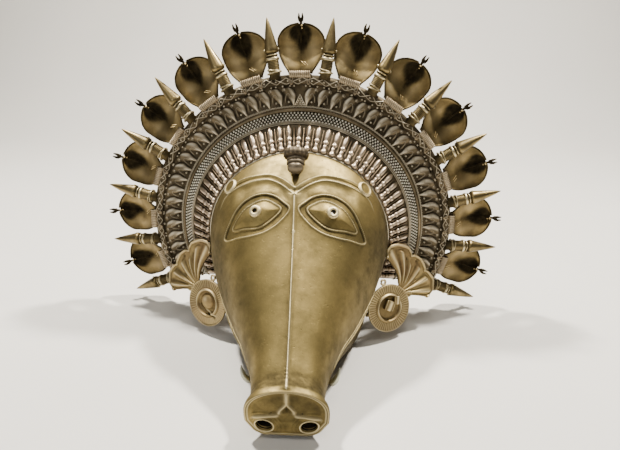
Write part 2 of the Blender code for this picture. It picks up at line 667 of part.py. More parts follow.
def make_ear(hand, side, material):
    """One casting: the round ornament, the fan above its outer shoulder and the stud to the cheek."""
    radius = EAR_ORNAMENT_DIAMETER / 2
    half = EAR_ORNAMENT_THICKNESS / 2
    turn_out = math.radians(EAR_YAW)
    setting = COLLAR_SEAT + EAR_SETTING
    reach = (EAR_SETTING + radius * math.sin(turn_out)) / SNOUT_LENGTH
    sizes = section_at(reach)
    across = sizes[5] + EAR_CLEARANCE + radius * math.cos(turn_out)
    centre = Vector((side * across, CROWN_Y - setting, EAR_LIFT + radius))
    tilt = Matrix.Rotation(math.radians(90.0 - EAR_TILT), 4, "X")
    place = Matrix.Translation(centre) @ Matrix.Rotation(side * turn_out, 4, "Z") @ tilt

    ear = add_part(f"ear_{hand}", ear_fan(side), material)
    ear.matrix_world = place @ Matrix.Translation((side * radius * 0.5, radius * 0.52, 0.0))
    thicken(ear, EAR_FAN_THICKNESS, 0.0)
    boss = half + EAR_BOSS_HEIGHT
    profile = ((0.0, boss), (radius * 0.22, boss - EAR_BOSS_HEIGHT * 0.2), (radius * 0.3, half * 0.4),
               (radius * 0.5, half * 0.4), (radius * 0.58, boss - EAR_BOSS_HEIGHT * 0.3),
               (radius * 0.68, half * 0.6), (radius, half * 0.4), (radius * 0.97, -half), (0.0, -half))
    ornament = add_cutter(f"ear_ornament_{hand}", outline_mesh(f"ear_ornament_{hand}", profile))
    ornament.matrix_world = place
    turn(ornament, 16)
    combine(ear, ornament, "UNION")

    inner_edge = place @ Vector((-side * radius * 0.9, 0.0, -half * 0.3))
    cheek = Vector((side * (sizes[5] + EAR_STUD_DIAMETER * 0.3), face_y(reach), sizes[6]))
    stud = rod(f"ear_stud_{hand}", (inner_edge, inner_edge.lerp(cheek, 0.6), cheek), EAR_STUD_DIAMETER / 2,
               sides=1, taper=(1.0, 1.0, 0.5))
    combine(ear, add_cutter(f"ear_stud_{hand}", stud), "UNION")


def make_bud(material):
    """A ringed bud under a fluted cap, leaning forwards over the top of the forehead."""
    radius = BUD_CAP_DIAMETER / 2
    cap_foot = (radius * 0.98, -BUD_LENGTH * 0.3)
    profile = ((0.0, 0.0), (radius * 0.75, 0.0), (radius, -BUD_LENGTH * 0.14), cap_foot,
               (radius * 0.62, -BUD_LENGTH * 0.36), (radius * 0.68, -BUD_LENGTH * 0.55),
               (radius * 0.46, -BUD_LENGTH * 0.75), (radius * 0.28, -BUD_LENGTH * 0.92), (0.0, -BUD_LENGTH))
    bud = add_part("forehead_bud", outline_mesh("forehead_bud", profile), material)
    lean = Matrix.Rotation(math.radians(-BUD_TILT), 4, "X")
    reach = BUD_SEAT / SNOUT_LENGTH
    forehead = Vector((0.0, face_y(reach), upper_height(0.0, reach)))
    clear = face_normal(0.0, forehead.z) * GAP * 2
    bud.matrix_world = Matrix.Translation(forehead + clear - lean @ Vector((0.0, *cap_foot))) @ lean
    turn(bud, 12)


def make_tusk(hand, side, material):
    """A small curved tusk that rises from the side of the jaw past the lip."""
    sizes = section_at(TUSK_REACH_SHARE)
    lip, lip_at, jaw, jaw_at = sizes[3:7]
    flank = jaw + (lip - jaw) * TUSK_LEVEL_SHARE
    across = side * (flank + TUSK_DIAMETER / 2 + TUSK_CLEARANCE) + drift(TUSK_REACH_SHARE)
    root = Vector((across, face_y(TUSK_REACH_SHARE), jaw_at + (lip_at - jaw_at) * TUSK_LEVEL_SHARE))
    taper = (1.0, 0.98, 0.88, 0.7, 0.45, 0.12)
    points = []
    for step in range(len(taper)):
        t = step / (len(taper) - 1)
        outwards = side * (0.62 * t - 0.25 * t * t)
        bend = Vector((outwards, -0.12 * math.sin(math.pi * t), 0.8 * t + 0.1 * t * t))
        points.append(root + bend * TUSK_LENGTH)
    tusk = rod(f"tusk_{hand}", points, TUSK_DIAMETER / 2, sides=1, taper=taper)
    add_part(f"tusk_{hand}", tusk, material)


def make_mask():
    clear_scene()
    make_face(brass("face_brass", (0.42, 0.33, 0.14), 0.32))
    make_crown(brass("crown_brass", (0.24, 0.19, 0.11), 0.42))
    make_hoods(brass("hood_brass", (0.30, 0.24, 0.10), 0.28))
    make_spikes(brass("spike_brass", (0.40, 0.30, 0.15), 0.34))
    make_bud(brass("bud_bronze", (0.10, 0.08, 0.05), 0.5))
    ear_brass = brass("ear_brass", (0.50, 0.36, 0.18), 0.4)
    tusk_alloy = brass("tusk_alloy", (0.55, 0.54, 0.44), 0.4)
    for side, hand in ((-1, "left"), (1, "right")):
        make_ear(hand, side, ear_brass)
        make_tusk(hand, side, tusk_alloy)


make_mask()
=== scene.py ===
"""The look of a boar deity's ritual mask in aged brass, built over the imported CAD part.

The snout points along -Y, the crown stands upright behind it and the mask rests on its lower jaw at Z = 0.
"""

import math

import bmesh
import bpy
import numpy as np
from mathutils import Matrix, Vector


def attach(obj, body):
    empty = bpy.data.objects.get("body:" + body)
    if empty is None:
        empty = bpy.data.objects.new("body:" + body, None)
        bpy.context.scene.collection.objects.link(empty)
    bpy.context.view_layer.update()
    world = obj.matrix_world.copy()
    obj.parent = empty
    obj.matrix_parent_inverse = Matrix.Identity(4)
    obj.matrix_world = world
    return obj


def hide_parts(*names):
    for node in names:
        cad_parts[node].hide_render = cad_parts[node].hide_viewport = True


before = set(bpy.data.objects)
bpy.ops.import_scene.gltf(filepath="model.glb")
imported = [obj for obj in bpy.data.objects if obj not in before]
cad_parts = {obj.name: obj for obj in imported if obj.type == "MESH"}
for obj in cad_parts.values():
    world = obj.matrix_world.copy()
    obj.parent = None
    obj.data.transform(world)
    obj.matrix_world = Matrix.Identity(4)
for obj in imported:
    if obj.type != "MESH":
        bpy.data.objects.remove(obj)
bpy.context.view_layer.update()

# The camera: above the snout and in front of it, looking down on the forehead as the photograph does.
look_yaw = math.radians(3.26)
look_down = math.radians(22.1)
look = Vector((-math.sin(look_yaw) * math.cos(look_down), math.cos(look_yaw) * math.cos(look_down),
               -math.sin(look_down)))
camera = bpy.data.objects.new("camera", bpy.data.cameras.new("camera"))
camera.data.sensor_width = 36.0
camera.data.lens = 32.11
camera.data.clip_start = 0.01
camera.location = (0.0518, -0.5766, 0.4086)
camera.rotation_mode = "QUATERNION"
camera.rotation_quaternion = look.to_track_quat("-Z", "Y")
bpy.context.scene.collection.objects.link(camera)
bpy.context.scene.camera = camera

# The floor: a plain pale sheet that rises in a soft curve to a wall far behind the mask.
floor_half = 3.0
wall_distance = 1.6
bm = bmesh.new()
bmesh.ops.create_grid(bm, x_segments=2, y_segments=2, size=floor_half)
back_edges = [edge for edge in bm.edges if all(v.co.y > floor_half * 0.99 for v in edge.verts)]
raised = bmesh.ops.extrude_edge_only(bm, edges=back_edges)
for v in bm.verts:
    if v.co.y > floor_half * 0.99:
        v.co.y = wall_distance
bmesh.ops.translate(bm, verts=[v for v in raised["geom"] if isinstance(v, bmesh.types.BMVert)],
                    vec=(0, 0, floor_half))
bend = [edge for edge in bm.edges if all(v.co.y > wall_distance * 0.99 and v.co.z < 0.01 for v in edge.verts)]
bmesh.ops.bevel(bm, geom=bend, offset=0.6, segments=12, profile=0.5, affect="EDGES", material=-1)
bmesh.ops.recalc_face_normals(bm, faces=bm.faces)
floor_mesh = bpy.data.meshes.new("floor")
bm.to_mesh(floor_mesh)
bm.free()
floor_mesh.shade_smooth()
floor = bpy.data.objects.new("floor", floor_mesh)
bpy.context.scene.collection.objects.link(floor)
paper = bpy.data.materials.new("pale_floor")
paper.use_nodes = True
paper_shader = paper.node_tree.nodes["Principled BSDF"]
paper_shader.inputs["Roughness"].default_value = 0.75
paper_place = paper.node_tree.nodes.new("ShaderNodeTexCoord")
grain = paper.node_tree.nodes.new("ShaderNodeTexNoise")
grain.inputs["Scale"].default_value = 3.0
grain.inputs["Detail"].default_value = 5.0
paper_tone = paper.node_tree.nodes.new("ShaderNodeValToRGB")
paper_tone.color_ramp.elements[0].color = (0.66, 0.64, 0.60, 1.0)
paper_tone.color_ramp.elements[1].color = (0.74, 0.72, 0.68, 1.0)
paper.node_tree.links.new(paper_place.outputs["Object"], grain.inputs["Vector"])
paper.node_tree.links.new(grain.outputs["Fac"], paper_tone.inputs["Fac"])
paper.node_tree.links.new(paper_tone.outputs["Color"], paper_shader.inputs["Base Color"])
floor_mesh.materials.append(paper)


# The light: two soft lamps high behind the crown that throw the shadows forwards, one overhead that shows
# on the forehead, a weak one in front and a dim even room.
def soft_lamp(name, place, target, width, power, colour):
    lamp = bpy.data.lights.new(name, "AREA")
    lamp.shape = "DISK"
    lamp.size = width
    lamp.energy = power
    lamp.color = colour
    holder = bpy.data.objects.new(name, lamp)
    holder.location = place
    holder.rotation_mode = "QUATERNION"
    holder.rotation_quaternion = (Vector(target) - Vector(place)).to_track_quat("-Z", "Y")
    bpy.context.scene.collection.objects.link(holder)


warm = (1.0, 0.95, 0.86)
soft_lamp("lamp_back_left", (-0.60, 0.50, 1.60), (0, 0.05, 0.1), 0.14, 62.0, warm)
soft_lamp("lamp_back_right", (0.70, 0.46, 1.60), (0, 0.05, 0.1), 0.14, 62.0, warm)
soft_lamp("lamp_overhead", (0.1, -0.5, 1.6), (0, 0.0, 0.15), 0.7, 7.0, warm)
soft_lamp("lamp_front_left", (-0.9, -1.2, 0.9), (0, 0.1, 0.2), 0.6, 5.0, (0.95, 0.97, 1.0))
room = bpy.data.worlds.new("room")
room.use_nodes = True
room.node_tree.nodes["Background"].inputs["Color"].default_value = (0.085, 0.085, 0.085, 1.0)
bpy.context.scene.world = room


# Aged brass: one node group that every material of the mask uses. It mottles the metal, darkens where one
# point attribute marks patina in hollows and painted shade, brightens where another marks wear on crests and
# painted highlights, and gives the height of fine pits.
def feed(tree, socket, value):
    """Gives a socket another socket's output or a plain value."""
    if isinstance(value, bpy.types.NodeSocket):
        tree.links.new(value, socket)
    else:
        socket.default_value = value


def blend(tree, factor, first, second):
    mix = tree.nodes.new("ShaderNodeMix")
    mix.data_type = "RGBA"
    mix.clamp_factor = True
    for socket, value in ((mix.inputs[0], factor), (mix.inputs[6], first), (mix.inputs[7], second)):
        feed(tree, socket, value)
    return mix.outputs[2]


def reckon(tree, operation, first, second=0.0, third=0.0):
    node = tree.nodes.new("ShaderNodeMath")
    node.operation = operation
    for socket, value in zip(node.inputs, (first, second, third)):
        feed(tree, socket, value)
    return node.outputs[0]


def stretch(tree, value, low, high):
    """Maps low..high to 0..1, held at both ends."""
    node = tree.nodes.new("ShaderNodeMapRange")
    node.interpolation_type = "SMOOTHSTEP"
    for label, given_value in (("Value", value), ("From Min", low), ("From Max", high)):
        feed(tree, node.inputs[label], given_value)
    return node.outputs["Result"]


def noise(tree, vector, scale, detail, roughness=0.55):
    node = tree.nodes.new("ShaderNodeTexNoise")
    for label, value in (("Vector", vector), ("Scale", scale), ("Detail", detail), ("Roughness", roughness)):
        feed(tree, node.inputs[label], value)
    return node.outputs["Fac"]


aged = bpy.data.node_groups.new("aged_brass", "ShaderNodeTree")
for label, kind in (("Place", "Vector"), ("Recess", "Float"), ("Wear_and_highlight", "Float"), ("Metal", "Color"),
                    ("Patina", "Color"), ("Bright", "Color"), ("Mottle", "Float"), ("Cover", "Float"),
                    ("Matte", "Float")):
    aged.interface.new_socket(label, in_out="INPUT", socket_type="NodeSocket" + kind)
for label, kind in (("Color", "Color"), ("Roughness", "Float"), ("Height", "Float")):
    aged.interface.new_socket(label, in_out="OUTPUT", socket_type="NodeSocket" + kind)
given = aged.nodes.new("NodeGroupInput").outputs
cloud = noise(aged, given["Place"], given["Mottle"], 7.0, 0.62)
speck = noise(aged, given["Place"], 420.0, 3.0)
grime = noise(aged, given["Place"], 95.0, 5.0, 0.6)
spread = reckon(aged, "ADD", cloud, reckon(aged, "MULTIPLY", given["Cover"], 0.5))
stain = stretch(aged, spread, 0.52, 0.86)
stain = reckon(aged, "MULTIPLY", stain, reckon(aged, "MULTIPLY_ADD", grime, 0.7, 0.45))
colour = blend(aged, stain, given["Metal"], given["Patina"])
pits = stretch(aged, speck, 0.60, 0.78)
colour = blend(aged, reckon(aged, "MULTIPLY", pits, 0.45), colour, given["Patina"])
# Patina and painted shade: marked points are drawn towards a near-black brown and made rougher.
patina_and_shade_weight = reckon(aged, "MULTIPLY", given["Recess"], reckon(aged, "MULTIPLY_ADD", grime, 0.6, 0.62))
colour = blend(aged, patina_and_shade_weight, colour, (0.022, 0.018, 0.012, 1.0))
# Wear and painted highlights: marked points are drawn towards the bright brass.
wear_and_highlight_weight = reckon(aged, "MULTIPLY", given["Wear_and_highlight"], reckon(aged, "MULTIPLY_ADD", grime, 0.8, 0.45))
colour = blend(aged, wear_and_highlight_weight, colour, given["Bright"])
rough = reckon(aged, "MULTIPLY_ADD", stain, 0.16, given["Matte"])
rough = reckon(aged, "MULTIPLY_ADD", patina_and_shade_weight, 0.3, rough)
rough = reckon(aged, "MULTIPLY_ADD", grime, 0.14, rough)
height = reckon(aged, "MULTIPLY_ADD", pits, -0.6, reckon(aged, "MULTIPLY", grime, 0.7))
told = aged.nodes.new("NodeGroupOutput").inputs
for label, result in (("Color", colour), ("Roughness", rough), ("Height", height)):
    feed(aged, told[label], result)


def brass(name, metal, patina, bright, mottle, cover, matte=0.30):
    """An aged brass of its own colours."""
    material = bpy.data.materials.new(name)
    material.use_nodes = True
    tree = material.node_tree
    shader = tree.nodes["Principled BSDF"]
    shader.inputs["Metallic"].default_value = 1.0
    group = tree.nodes.new("ShaderNodeGroup")
    group.node_tree = aged
    for label, value in (("Metal", (*metal, 1.0)), ("Patina", (*patina, 1.0)), ("Bright", (*bright, 1.0)),
                         ("Mottle", mottle), ("Cover", cover), ("Matte", matte),
                         ("Place", tree.nodes.new("ShaderNodeTexCoord").outputs["Object"])):
        feed(tree, group.inputs[label], value)
    for label in ("recess", "wear_and_highlight"):
        kept_mark = tree.nodes.new("ShaderNodeAttribute")
        kept_mark.attribute_name = label
        feed(tree, group.inputs[label.capitalize()], kept_mark.outputs["Fac"])
    bump = tree.nodes.new("ShaderNodeBump")
    for label, value in (("Strength", 0.6), ("Distance", 0.0004), ("Height", group.outputs["Height"])):
        feed(tree, bump.inputs[label], value)
    for label, value in (("Base Color", group.outputs["Color"]), ("Roughness", group.outputs["Roughness"]),
                         ("Normal", bump.outputs["Normal"])):
        feed(tree, shader.inputs[label], value)
    return material


def finish_piece(name, bm, material, nodes):
    """Turns a bmesh into a piece that stands for the named CAD nodes."""
    mesh = bpy.data.meshes.new(name)
    bm.to_mesh(mesh)
    bm.free()
    mesh.shade_smooth()
    mesh.materials.append(material)
    piece = bpy.data.objects.new(name, mesh)
    bpy.context.scene.collection.objects.link(piece)
    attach(piece, "root")
    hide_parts(*nodes)
    return piece


# The face: one hollow brass casting, forehead, eyes, long snout, lips, jaw and flat nose in one piece. Its
# sections run from the crown's collar to the nose; the wall is 3.5 mm and open at the back and the mouth.
half_face = 0.114
face_top = 0.238
crown_height = 0.124
crown_y = 0.130275
collar_seat = 0.054
snout_length = 0.222
face_wall = 0.0035
snout_drift = 0.004
brow_fullness = 0.86
rear_edge = -collar_seat / snout_length
rear_lip_share = 0.54
rear_lip = math.sqrt(1 - ((1 - rear_lip_share) * crown_height / half_face) ** 2)
face_sections = np.array((
    # reach, top, half width, its height, lip width, height, jaw width, height, sole width, height
    (0.000, 1.000, 1.000, 1.000, rear_lip, rear_lip_share, 0.835, 0.400, 0.740, 0.000),
    (0.073, 0.968, 0.978, 0.968, 0.850, 0.524, 0.815, 0.379, 0.720, 0.000),
    (0.145, 0.924, 0.939, 0.911, 0.833, 0.508, 0.780, 0.339, 0.684, 0.000),
    (0.243, 0.865, 0.864, 0.823, 0.798, 0.484, 0.737, 0.290, 0.623, 0.000),
    (0.365, 0.735, 0.746, 0.694, 0.719, 0.452, 0.605, 0.242, 0.509, 0.000),
    (0.500, 0.611, 0.627, 0.597, 0.614, 0.427, 0.482, 0.218, 0.377, 0.000),
    (0.644, 0.487, 0.491, 0.516, 0.478, 0.395, 0.377, 0.194, 0.263, 0.000),
    (0.792, 0.374, 0.373, 0.387, 0.360, 0.274, 0.307, 0.153, 0.202, 0.020),
    (0.919, 0.286, 0.329, 0.306, 0.316, 0.202, 0.272, 0.113, 0.193, 0.050),
    (0.955, 0.268, 0.340, 0.286, 0.330, 0.186, 0.285, 0.105, 0.193, 0.050),
    (0.978, 0.256, 0.370, 0.270, 0.364, 0.178, 0.300, 0.092, 0.193, 0.045),
    (1.000, 0.248, 0.377, 0.262, 0.370, 0.178, 0.300, 0.090, 0.193, 0.042),
))


def section_at(reach):
    """The nine sizes of the face's section at each reach, in metres, eased between the named sections."""
    rows = face_sections
    reach = np.clip(reach, 0.0, 1.0)
    index = np.clip(np.searchsorted(rows[:, 0], reach, side="right") - 1, 0, len(rows) - 2)
    slopes = np.zeros_like(rows)
    slopes[1:-1] = (rows[2:] - rows[:-2]) / (rows[2:, :1] - rows[:-2, :1])
    slopes[-1] = (rows[-1] - rows[-2]) / (rows[-1, 0] - rows[-2, 0])
    span = (rows[index + 1, 0] - rows[index, 0])[:, None]
    t = (reach - rows[index, 0])[:, None] / span
    sizes = (rows[index] * (2 * t**3 - 3 * t**2 + 1) + slopes[index] * span * (t**3 - 2 * t**2 + t)
             + rows[index + 1] * (3 * t**2 - 2 * t**3) + slopes[index + 1] * span * (t**3 - t**2))
    scale = (1, face_top, half_face, crown_height, half_face, crown_height, half_face, crown_height,
             half_face, crown_height)
    return np.maximum(sizes * scale, 0.0)[:, 1:].T


def face_drift(reach):
    return snout_drift * np.clip((reach - 0.25) / 0.75, 0.0, 1.0)


def face_y(reach):
    return crown_y - collar_seat - reach * snout_length


def upper_height(x, reach):
    top, half, half_at = section_at(reach)[:3]
    power = 1.0 + (brow_fullness - 1.0) * np.clip(reach / 0.25, 0.0, 1.0)
    cosine = np.sqrt(np.clip(1 - (x / half) ** 2, 0.0, 1.0))
    return half_at + (top - half_at) * cosine**power


def on_face(x, z):
    """The points of the upper surface that show at x, z in front view."""
    low = np.full_like(x, rear_edge / 8)
    high = np.ones_like(x)
    for _ in range(30):
        middle = (low + high) / 2
        nearer = (upper_height(x, middle) > z) & (np.abs(x) < section_at(middle)[1])
        low = np.where(nearer, middle, low)
        high = np.where(nearer, high, middle)
    reach = (low + high) / 2
    return np.stack((x + face_drift(reach), face_y(reach), upper_height(x, reach)), axis=1)


# Columns of the face's grid, from the top down one side: forehead, cheek, mouth, jaw and sole.
brow_columns, cheek_columns, mouth_columns, jaw_columns, sole_columns = 50, 58, 62, 70, 78
row_table = (0, 6, 40, 84, 96, 98)
reach_table = (rear_edge, 0.0, 0.36, 0.88, 0.985, 0.9946)
rim_shares = (1.0, 0.985, 0.965, 0.94, 0.915, 0.885, 0.86)
rim_sinks = (0.0012, 0.0003, 0.0, 0.0009, 0.0003, 0.0012, 0.0020)
face_rows = row_table[-1]
nose_rows = len(rim_shares) - 1
nose_middle = np.array((snout_drift, 0.0, 0.0315))


def face_place(column, row):
    """Where a column and a row of the face's grid lie on its surface."""
    reach = np.interp(row, row_table, reach_table)
    side = np.sign(column)
    c = np.abs(column)
    top, half, half_at, lip, lip_at, jaw, jaw_at, sole, sole_at = section_at(reach)
    x = half * np.sin(np.clip(c / brow_columns, 0, 1) * math.pi / 2)
    z = upper_height(x, reach)
    cheek = np.clip((c - brow_columns) / (cheek_columns - brow_columns), 0, 1)
    x = np.where(c > brow_columns, half * np.sqrt(1 - cheek**2 * (1 - (lip / half) ** 2)), x)
    z = np.where(c > brow_columns, half_at + (lip_at - half_at) * cheek, z)
    gap = np.clip((c - cheek_columns) / (mouth_columns - cheek_columns), 0, 1)
    x = np.where(c > cheek_columns, lip + (jaw - lip) * gap, x)
    z = np.where(c > cheek_columns, lip_at + (jaw_at - lip_at) * gap, z)
    t = np.clip((c - mouth_columns) / (jaw_columns - mouth_columns), 0, 1)
    bulge_x, bulge_z = sole + 0.62 * (jaw - sole), sole_at + 0.45 * (jaw_at - sole_at)
    first, second, third = (1 - t) * (1 - 2 * t), 4 * t * (1 - t), t * (2 * t - 1)
    x = np.where(c > mouth_columns, jaw * first + bulge_x * second + sole * third, x)
    z = np.where(c > mouth_columns, jaw_at * first + bulge_z * second + sole_at * third, z)
    floor_t = np.clip((c - jaw_columns) / (sole_columns - jaw_columns), 0, 1)
    x = np.where(c > jaw_columns, sole * (1 - floor_t), x)
    z = np.where(c > jaw_columns, sole_at, z)
    place = np.stack((side * x + face_drift(reach), face_y(reach), z), axis=1)
    past = row > face_rows
    over = np.clip(row - face_rows, 0, nose_rows)
    share = np.interp(over, range(nose_rows + 1), rim_shares)[:, None]
    sink = np.interp(over, range(nose_rows + 1), rim_sinks)
    lower = np.clip((nose_middle[2] + 0.008 - place[:, 2]) / 0.012, 0, 1)
    sink = sink + lower * (np.interp(over, range(nose_rows + 1), (0, 0, 0, -0.0006, 0, -0.0004, -0.0006)))
    rimmed = nose_middle + (place - nose_middle) * share
    rimmed[:, 1] = face_y(1.0) + sink
    return np.where(past[:, None], rimmed, place)


def surface_normal(column, row):
    step = 0.05
    across = face_place(column + step, row) - face_place(column - step, row)
    along = face_place(column, row + step) - face_place(column, row - step)
    normal = np.cross(along, across)
    return normal / np.maximum(np.linalg.norm(normal, axis=1, keepdims=True), 1e-9)


def smooth_line(points, closed, pieces=14):
    """A smooth run of points through the given ones."""
    points = np.asarray(points, float)
    count = len(points)
    picks = np.arange(count if closed else count - 1)

    def at(index):
        return points[index % count] if closed else points[np.clip(index, 0, count - 1)]

    runs = []
    for t in np.arange(pieces) / pieces:
        a, b, c, d = at(picks - 1), at(picks), at(picks + 1), at(picks + 2)
        runs.append(0.5 * (2 * b + (c - a) * t + (2 * a - 5 * b + 4 * c - d) * t**2
                           + (3 * b - a - 3 * c + d) * t**3))
    line = np.stack(runs, axis=1).reshape(-1, points.shape[1])
    return line if closed else np.vstack((line, points[-1:]))


def nearest(places, line):
    """Each place's distance to the nearest point of a line, and that point's share along it."""
    distance = np.full(len(places), 9.0)
    share = np.zeros(len(places))
    block_size = 4000
    for start in range(0, len(places), block_size):
        block = places[start:start + block_size]
        gaps = np.linalg.norm(block[:, None, :] - line[None, :, :], axis=2)
        best = gaps.argmin(axis=1)
        distance[start:start + block_size] = gaps[np.arange(len(block)), best]
        share[start:start + block_size] = best / len(line)
    return distance, share


def inside(flat, outline):
    """Which flat points lie inside a closed outline."""
    crossings = np.zeros(len(flat), int)
    after = np.roll(outline, -1, axis=0)
    for (x0, z0), (x1, z1) in zip(outline, after):
        between = (flat[:, 1] > z0) != (flat[:, 1] > z1)
        at = x0 + (flat[:, 1] - z0) * (x1 - x0) / (z1 - z0 if z1 != z0 else 1e-9)
        crossings += between & (flat[:, 0] < at)
    return crossings % 2 == 1


def ease(value):
    value = np.clip(value, 0.0, 1.0)
    return value * value * (3 - 2 * value)


def hump(distance, width):
    return np.exp(-((distance / width) ** 2))


# Lines of the face in front view, as shares of the half width and of the face's height.
eye_outer = ((0.046, 0.797), (0.112, 0.825), (0.20, 0.845), (0.31, 0.848), (0.44, 0.828), (0.56, 0.785),
             (0.65, 0.720), (0.72, 0.621), (0.56, 0.653), (0.42, 0.678), (0.28, 0.704), (0.145, 0.744))
eye_inner = ((0.133, 0.793), (0.203, 0.817), (0.303, 0.826), (0.42, 0.805), (0.54, 0.760), (0.635, 0.678),
             (0.50, 0.696), (0.36, 0.713), (0.25, 0.742))
brow_lower = ((0.0, 0.855), (0.12, 0.885), (0.26, 0.898), (0.40, 0.888), (0.54, 0.862), (0.67, 0.823),
              (0.77, 0.775), (0.83, 0.710))
brow_upper = ((0.0, 0.880), (0.12, 0.905), (0.27, 0.916), (0.42, 0.903), (0.57, 0.877), (0.70, 0.835),
              (0.80, 0.790))
shares = np.array((half_face, face_top))
pupil_place = (0.38, 0.774)


def face_relief(places, columns):
    """How far the surface rises or sinks along its normal, with the marks of dark grooves and of crests
    bright with wear, painted shade on the cheeks' sides and beside the ridge, and painted highlights along
    the ridge and on the forehead.
    """
    rise = np.zeros(len(places))
    dark = np.zeros(len(places))
    bright = np.zeros(len(places))
    near = np.where((np.abs(columns) < brow_columns - 2) & (places[:, 2] > 0.13)
                    & (places[:, 1] < crown_y - collar_seat * 0.6))[0]
    for side in (-1, 1):
        own = near[np.sign(columns[near] + side * 0.01) == side]
        local = places[own]
        flat = np.stack((local[:, 0] - face_drift((crown_y - collar_seat - local[:, 1]) / snout_length),
                         local[:, 2]), axis=1) * (side, 1)
        rims = {}
        for label, shape, closed in (("outer", eye_outer, True), ("inner", eye_inner, True),
                                     ("lower", brow_lower, False), ("upper", brow_upper, False)):
            line = smooth_line(np.array(shape) * shares, closed)
            on_surface = on_face(line[:, 0] * side, line[:, 1])
            rims[label] = (line, *nearest(local, on_surface))
        in_inner = inside(flat, rims["inner"][0])
        in_outer = inside(flat, rims["outer"][0])
        to_inner, to_outer = rims["inner"][1], rims["outer"][1]
        to_lower, to_upper = rims["lower"][1], rims["upper"][1]
        lift = np.zeros(len(local))
        groove = in_outer & ~in_inner
        lift -= np.where(groove, 0.0013 * ease(np.minimum(to_inner, to_outer) / 0.0026), 0.0)
        lift += np.where(in_inner, 0.0030 * ease(to_inner / 0.013) - 0.0006 * hump(to_inner, 0.002), 0.0)
        under_brow = ~in_outer & (flat[:, 1] < np.interp(flat[:, 0], rims["lower"][0][:, 0],
                                                         rims["lower"][0][:, 1]))
        above_eye = under_brow & (flat[:, 1] > np.interp(flat[:, 0] / half_face, (0, 0.1, 0.4, 0.72, 0.9),
                                                         np.array((0.80, 0.80, 0.78, 0.62, 0.60)) * face_top))
        hollow = ease(3.6 * to_lower * to_outer / (to_lower + to_outer + 1e-6) ** 2) * above_eye
        hollow = hollow * ease((0.076 - flat[:, 0]) / 0.016) * ease((flat[:, 0] - 0.004) / 0.012)
        lift -= 0.0024 * hollow
        between = (to_lower < 0.006) & (to_upper < 0.006)
        lift -= np.where(between, 0.0010 * hump(to_lower - to_upper, 0.003), 0.0)
        end_fade = ease((0.98 - rims["lower"][2]) / 0.12)
        lift += 0.0011 * hump(to_lower, 0.0008) * end_fade
        lift += 0.0008 * hump(to_upper, 0.0007) * ease((0.98 - rims["upper"][2]) / 0.12)
        lift += 0.0009 * hump(to_outer, 0.0007) + 0.0004 * hump(to_outer, 0.004)
        lift += 0.0007 * hump(to_inner, 0.0006)
        crest = np.maximum.reduce((0.75 * hump(to_outer, 0.0005), 0.65 * hump(to_inner, 0.0005),
                                   0.9 * hump(to_lower, 0.0007) * end_fade, 0.55 * hump(to_upper, 0.0006)))
        side_dark = np.maximum.reduce((
            0.9 * hump(to_outer - 0.0020, 0.0009) * groove, hump(to_inner - 0.0018, 0.0009) * 0.8,
            0.5 * hump(to_outer - 0.0022, 0.0010), 0.7 * between * hump(to_lower - to_upper, 0.0022),
            0.35 * groove, 0.22 * hollow))
        rise[own] += lift
        dark[own] = np.maximum(dark[own], side_dark * (1 - crest))
        bright[own] = np.maximum(bright[own], crest)
    over = places[:, 2] > 0.06
    across = np.abs(places[:, 0] - face_drift((crown_y - collar_seat - places[:, 1]) / snout_length))
    ridge = over & (places[:, 2] < 0.857 * face_top) & (np.abs(columns) < brow_columns)
    rise += np.where(ridge, 0.0014 * hump(across, 0.0010) + 0.0010 * hump(across, 0.005), 0.0)
    # Painted highlight: a thin bright line along the snout's ridge.
    bright = np.where(ridge, np.maximum(bright, hump(across, 0.0008)), bright)
    # Painted highlight: a soft bright patch high on the forehead, where the light from above falls.
    painted_forehead_highlight = 0.08 * hump(np.hypot(across, places[:, 2] - 0.212), 0.014) * (np.abs(columns) < brow_columns)
    bright = np.maximum(bright, painted_forehead_highlight * (1 - dark))
    # Painted shade on both flanks of the ridge, just beside its crest.
    dark = np.where(ridge, np.maximum(dark, 0.35 * hump(across - 0.0028, 0.0012)), dark)
    snout = np.clip((crown_y - collar_seat - places[:, 1]) / snout_length, 0, 1)
    # Painted shade: the face's sides below the top of the head are darkened, less so along the snout.
    shaded = ease((np.abs(columns) - 20) / 26) * ease((0.235 - places[:, 2]) / 0.04)
    dark = np.maximum(dark, 0.85 * shaded * (1 - 0.6 * snout))
    muzzle = ease((snout - 0.88) / 0.05) * (places[:, 2] > 0.03) * ease((0.978 - snout) / 0.01)
    ripple = np.sin(places[:, 1] * 1900 + np.sin(places[:, 0] * 240) * 2.2)
    rise += muzzle * 0.00025 * ripple
    dark = np.maximum(dark, muzzle * (0.60 + 0.10 * (ripple < -0.3)))
    return rise, dark, bright


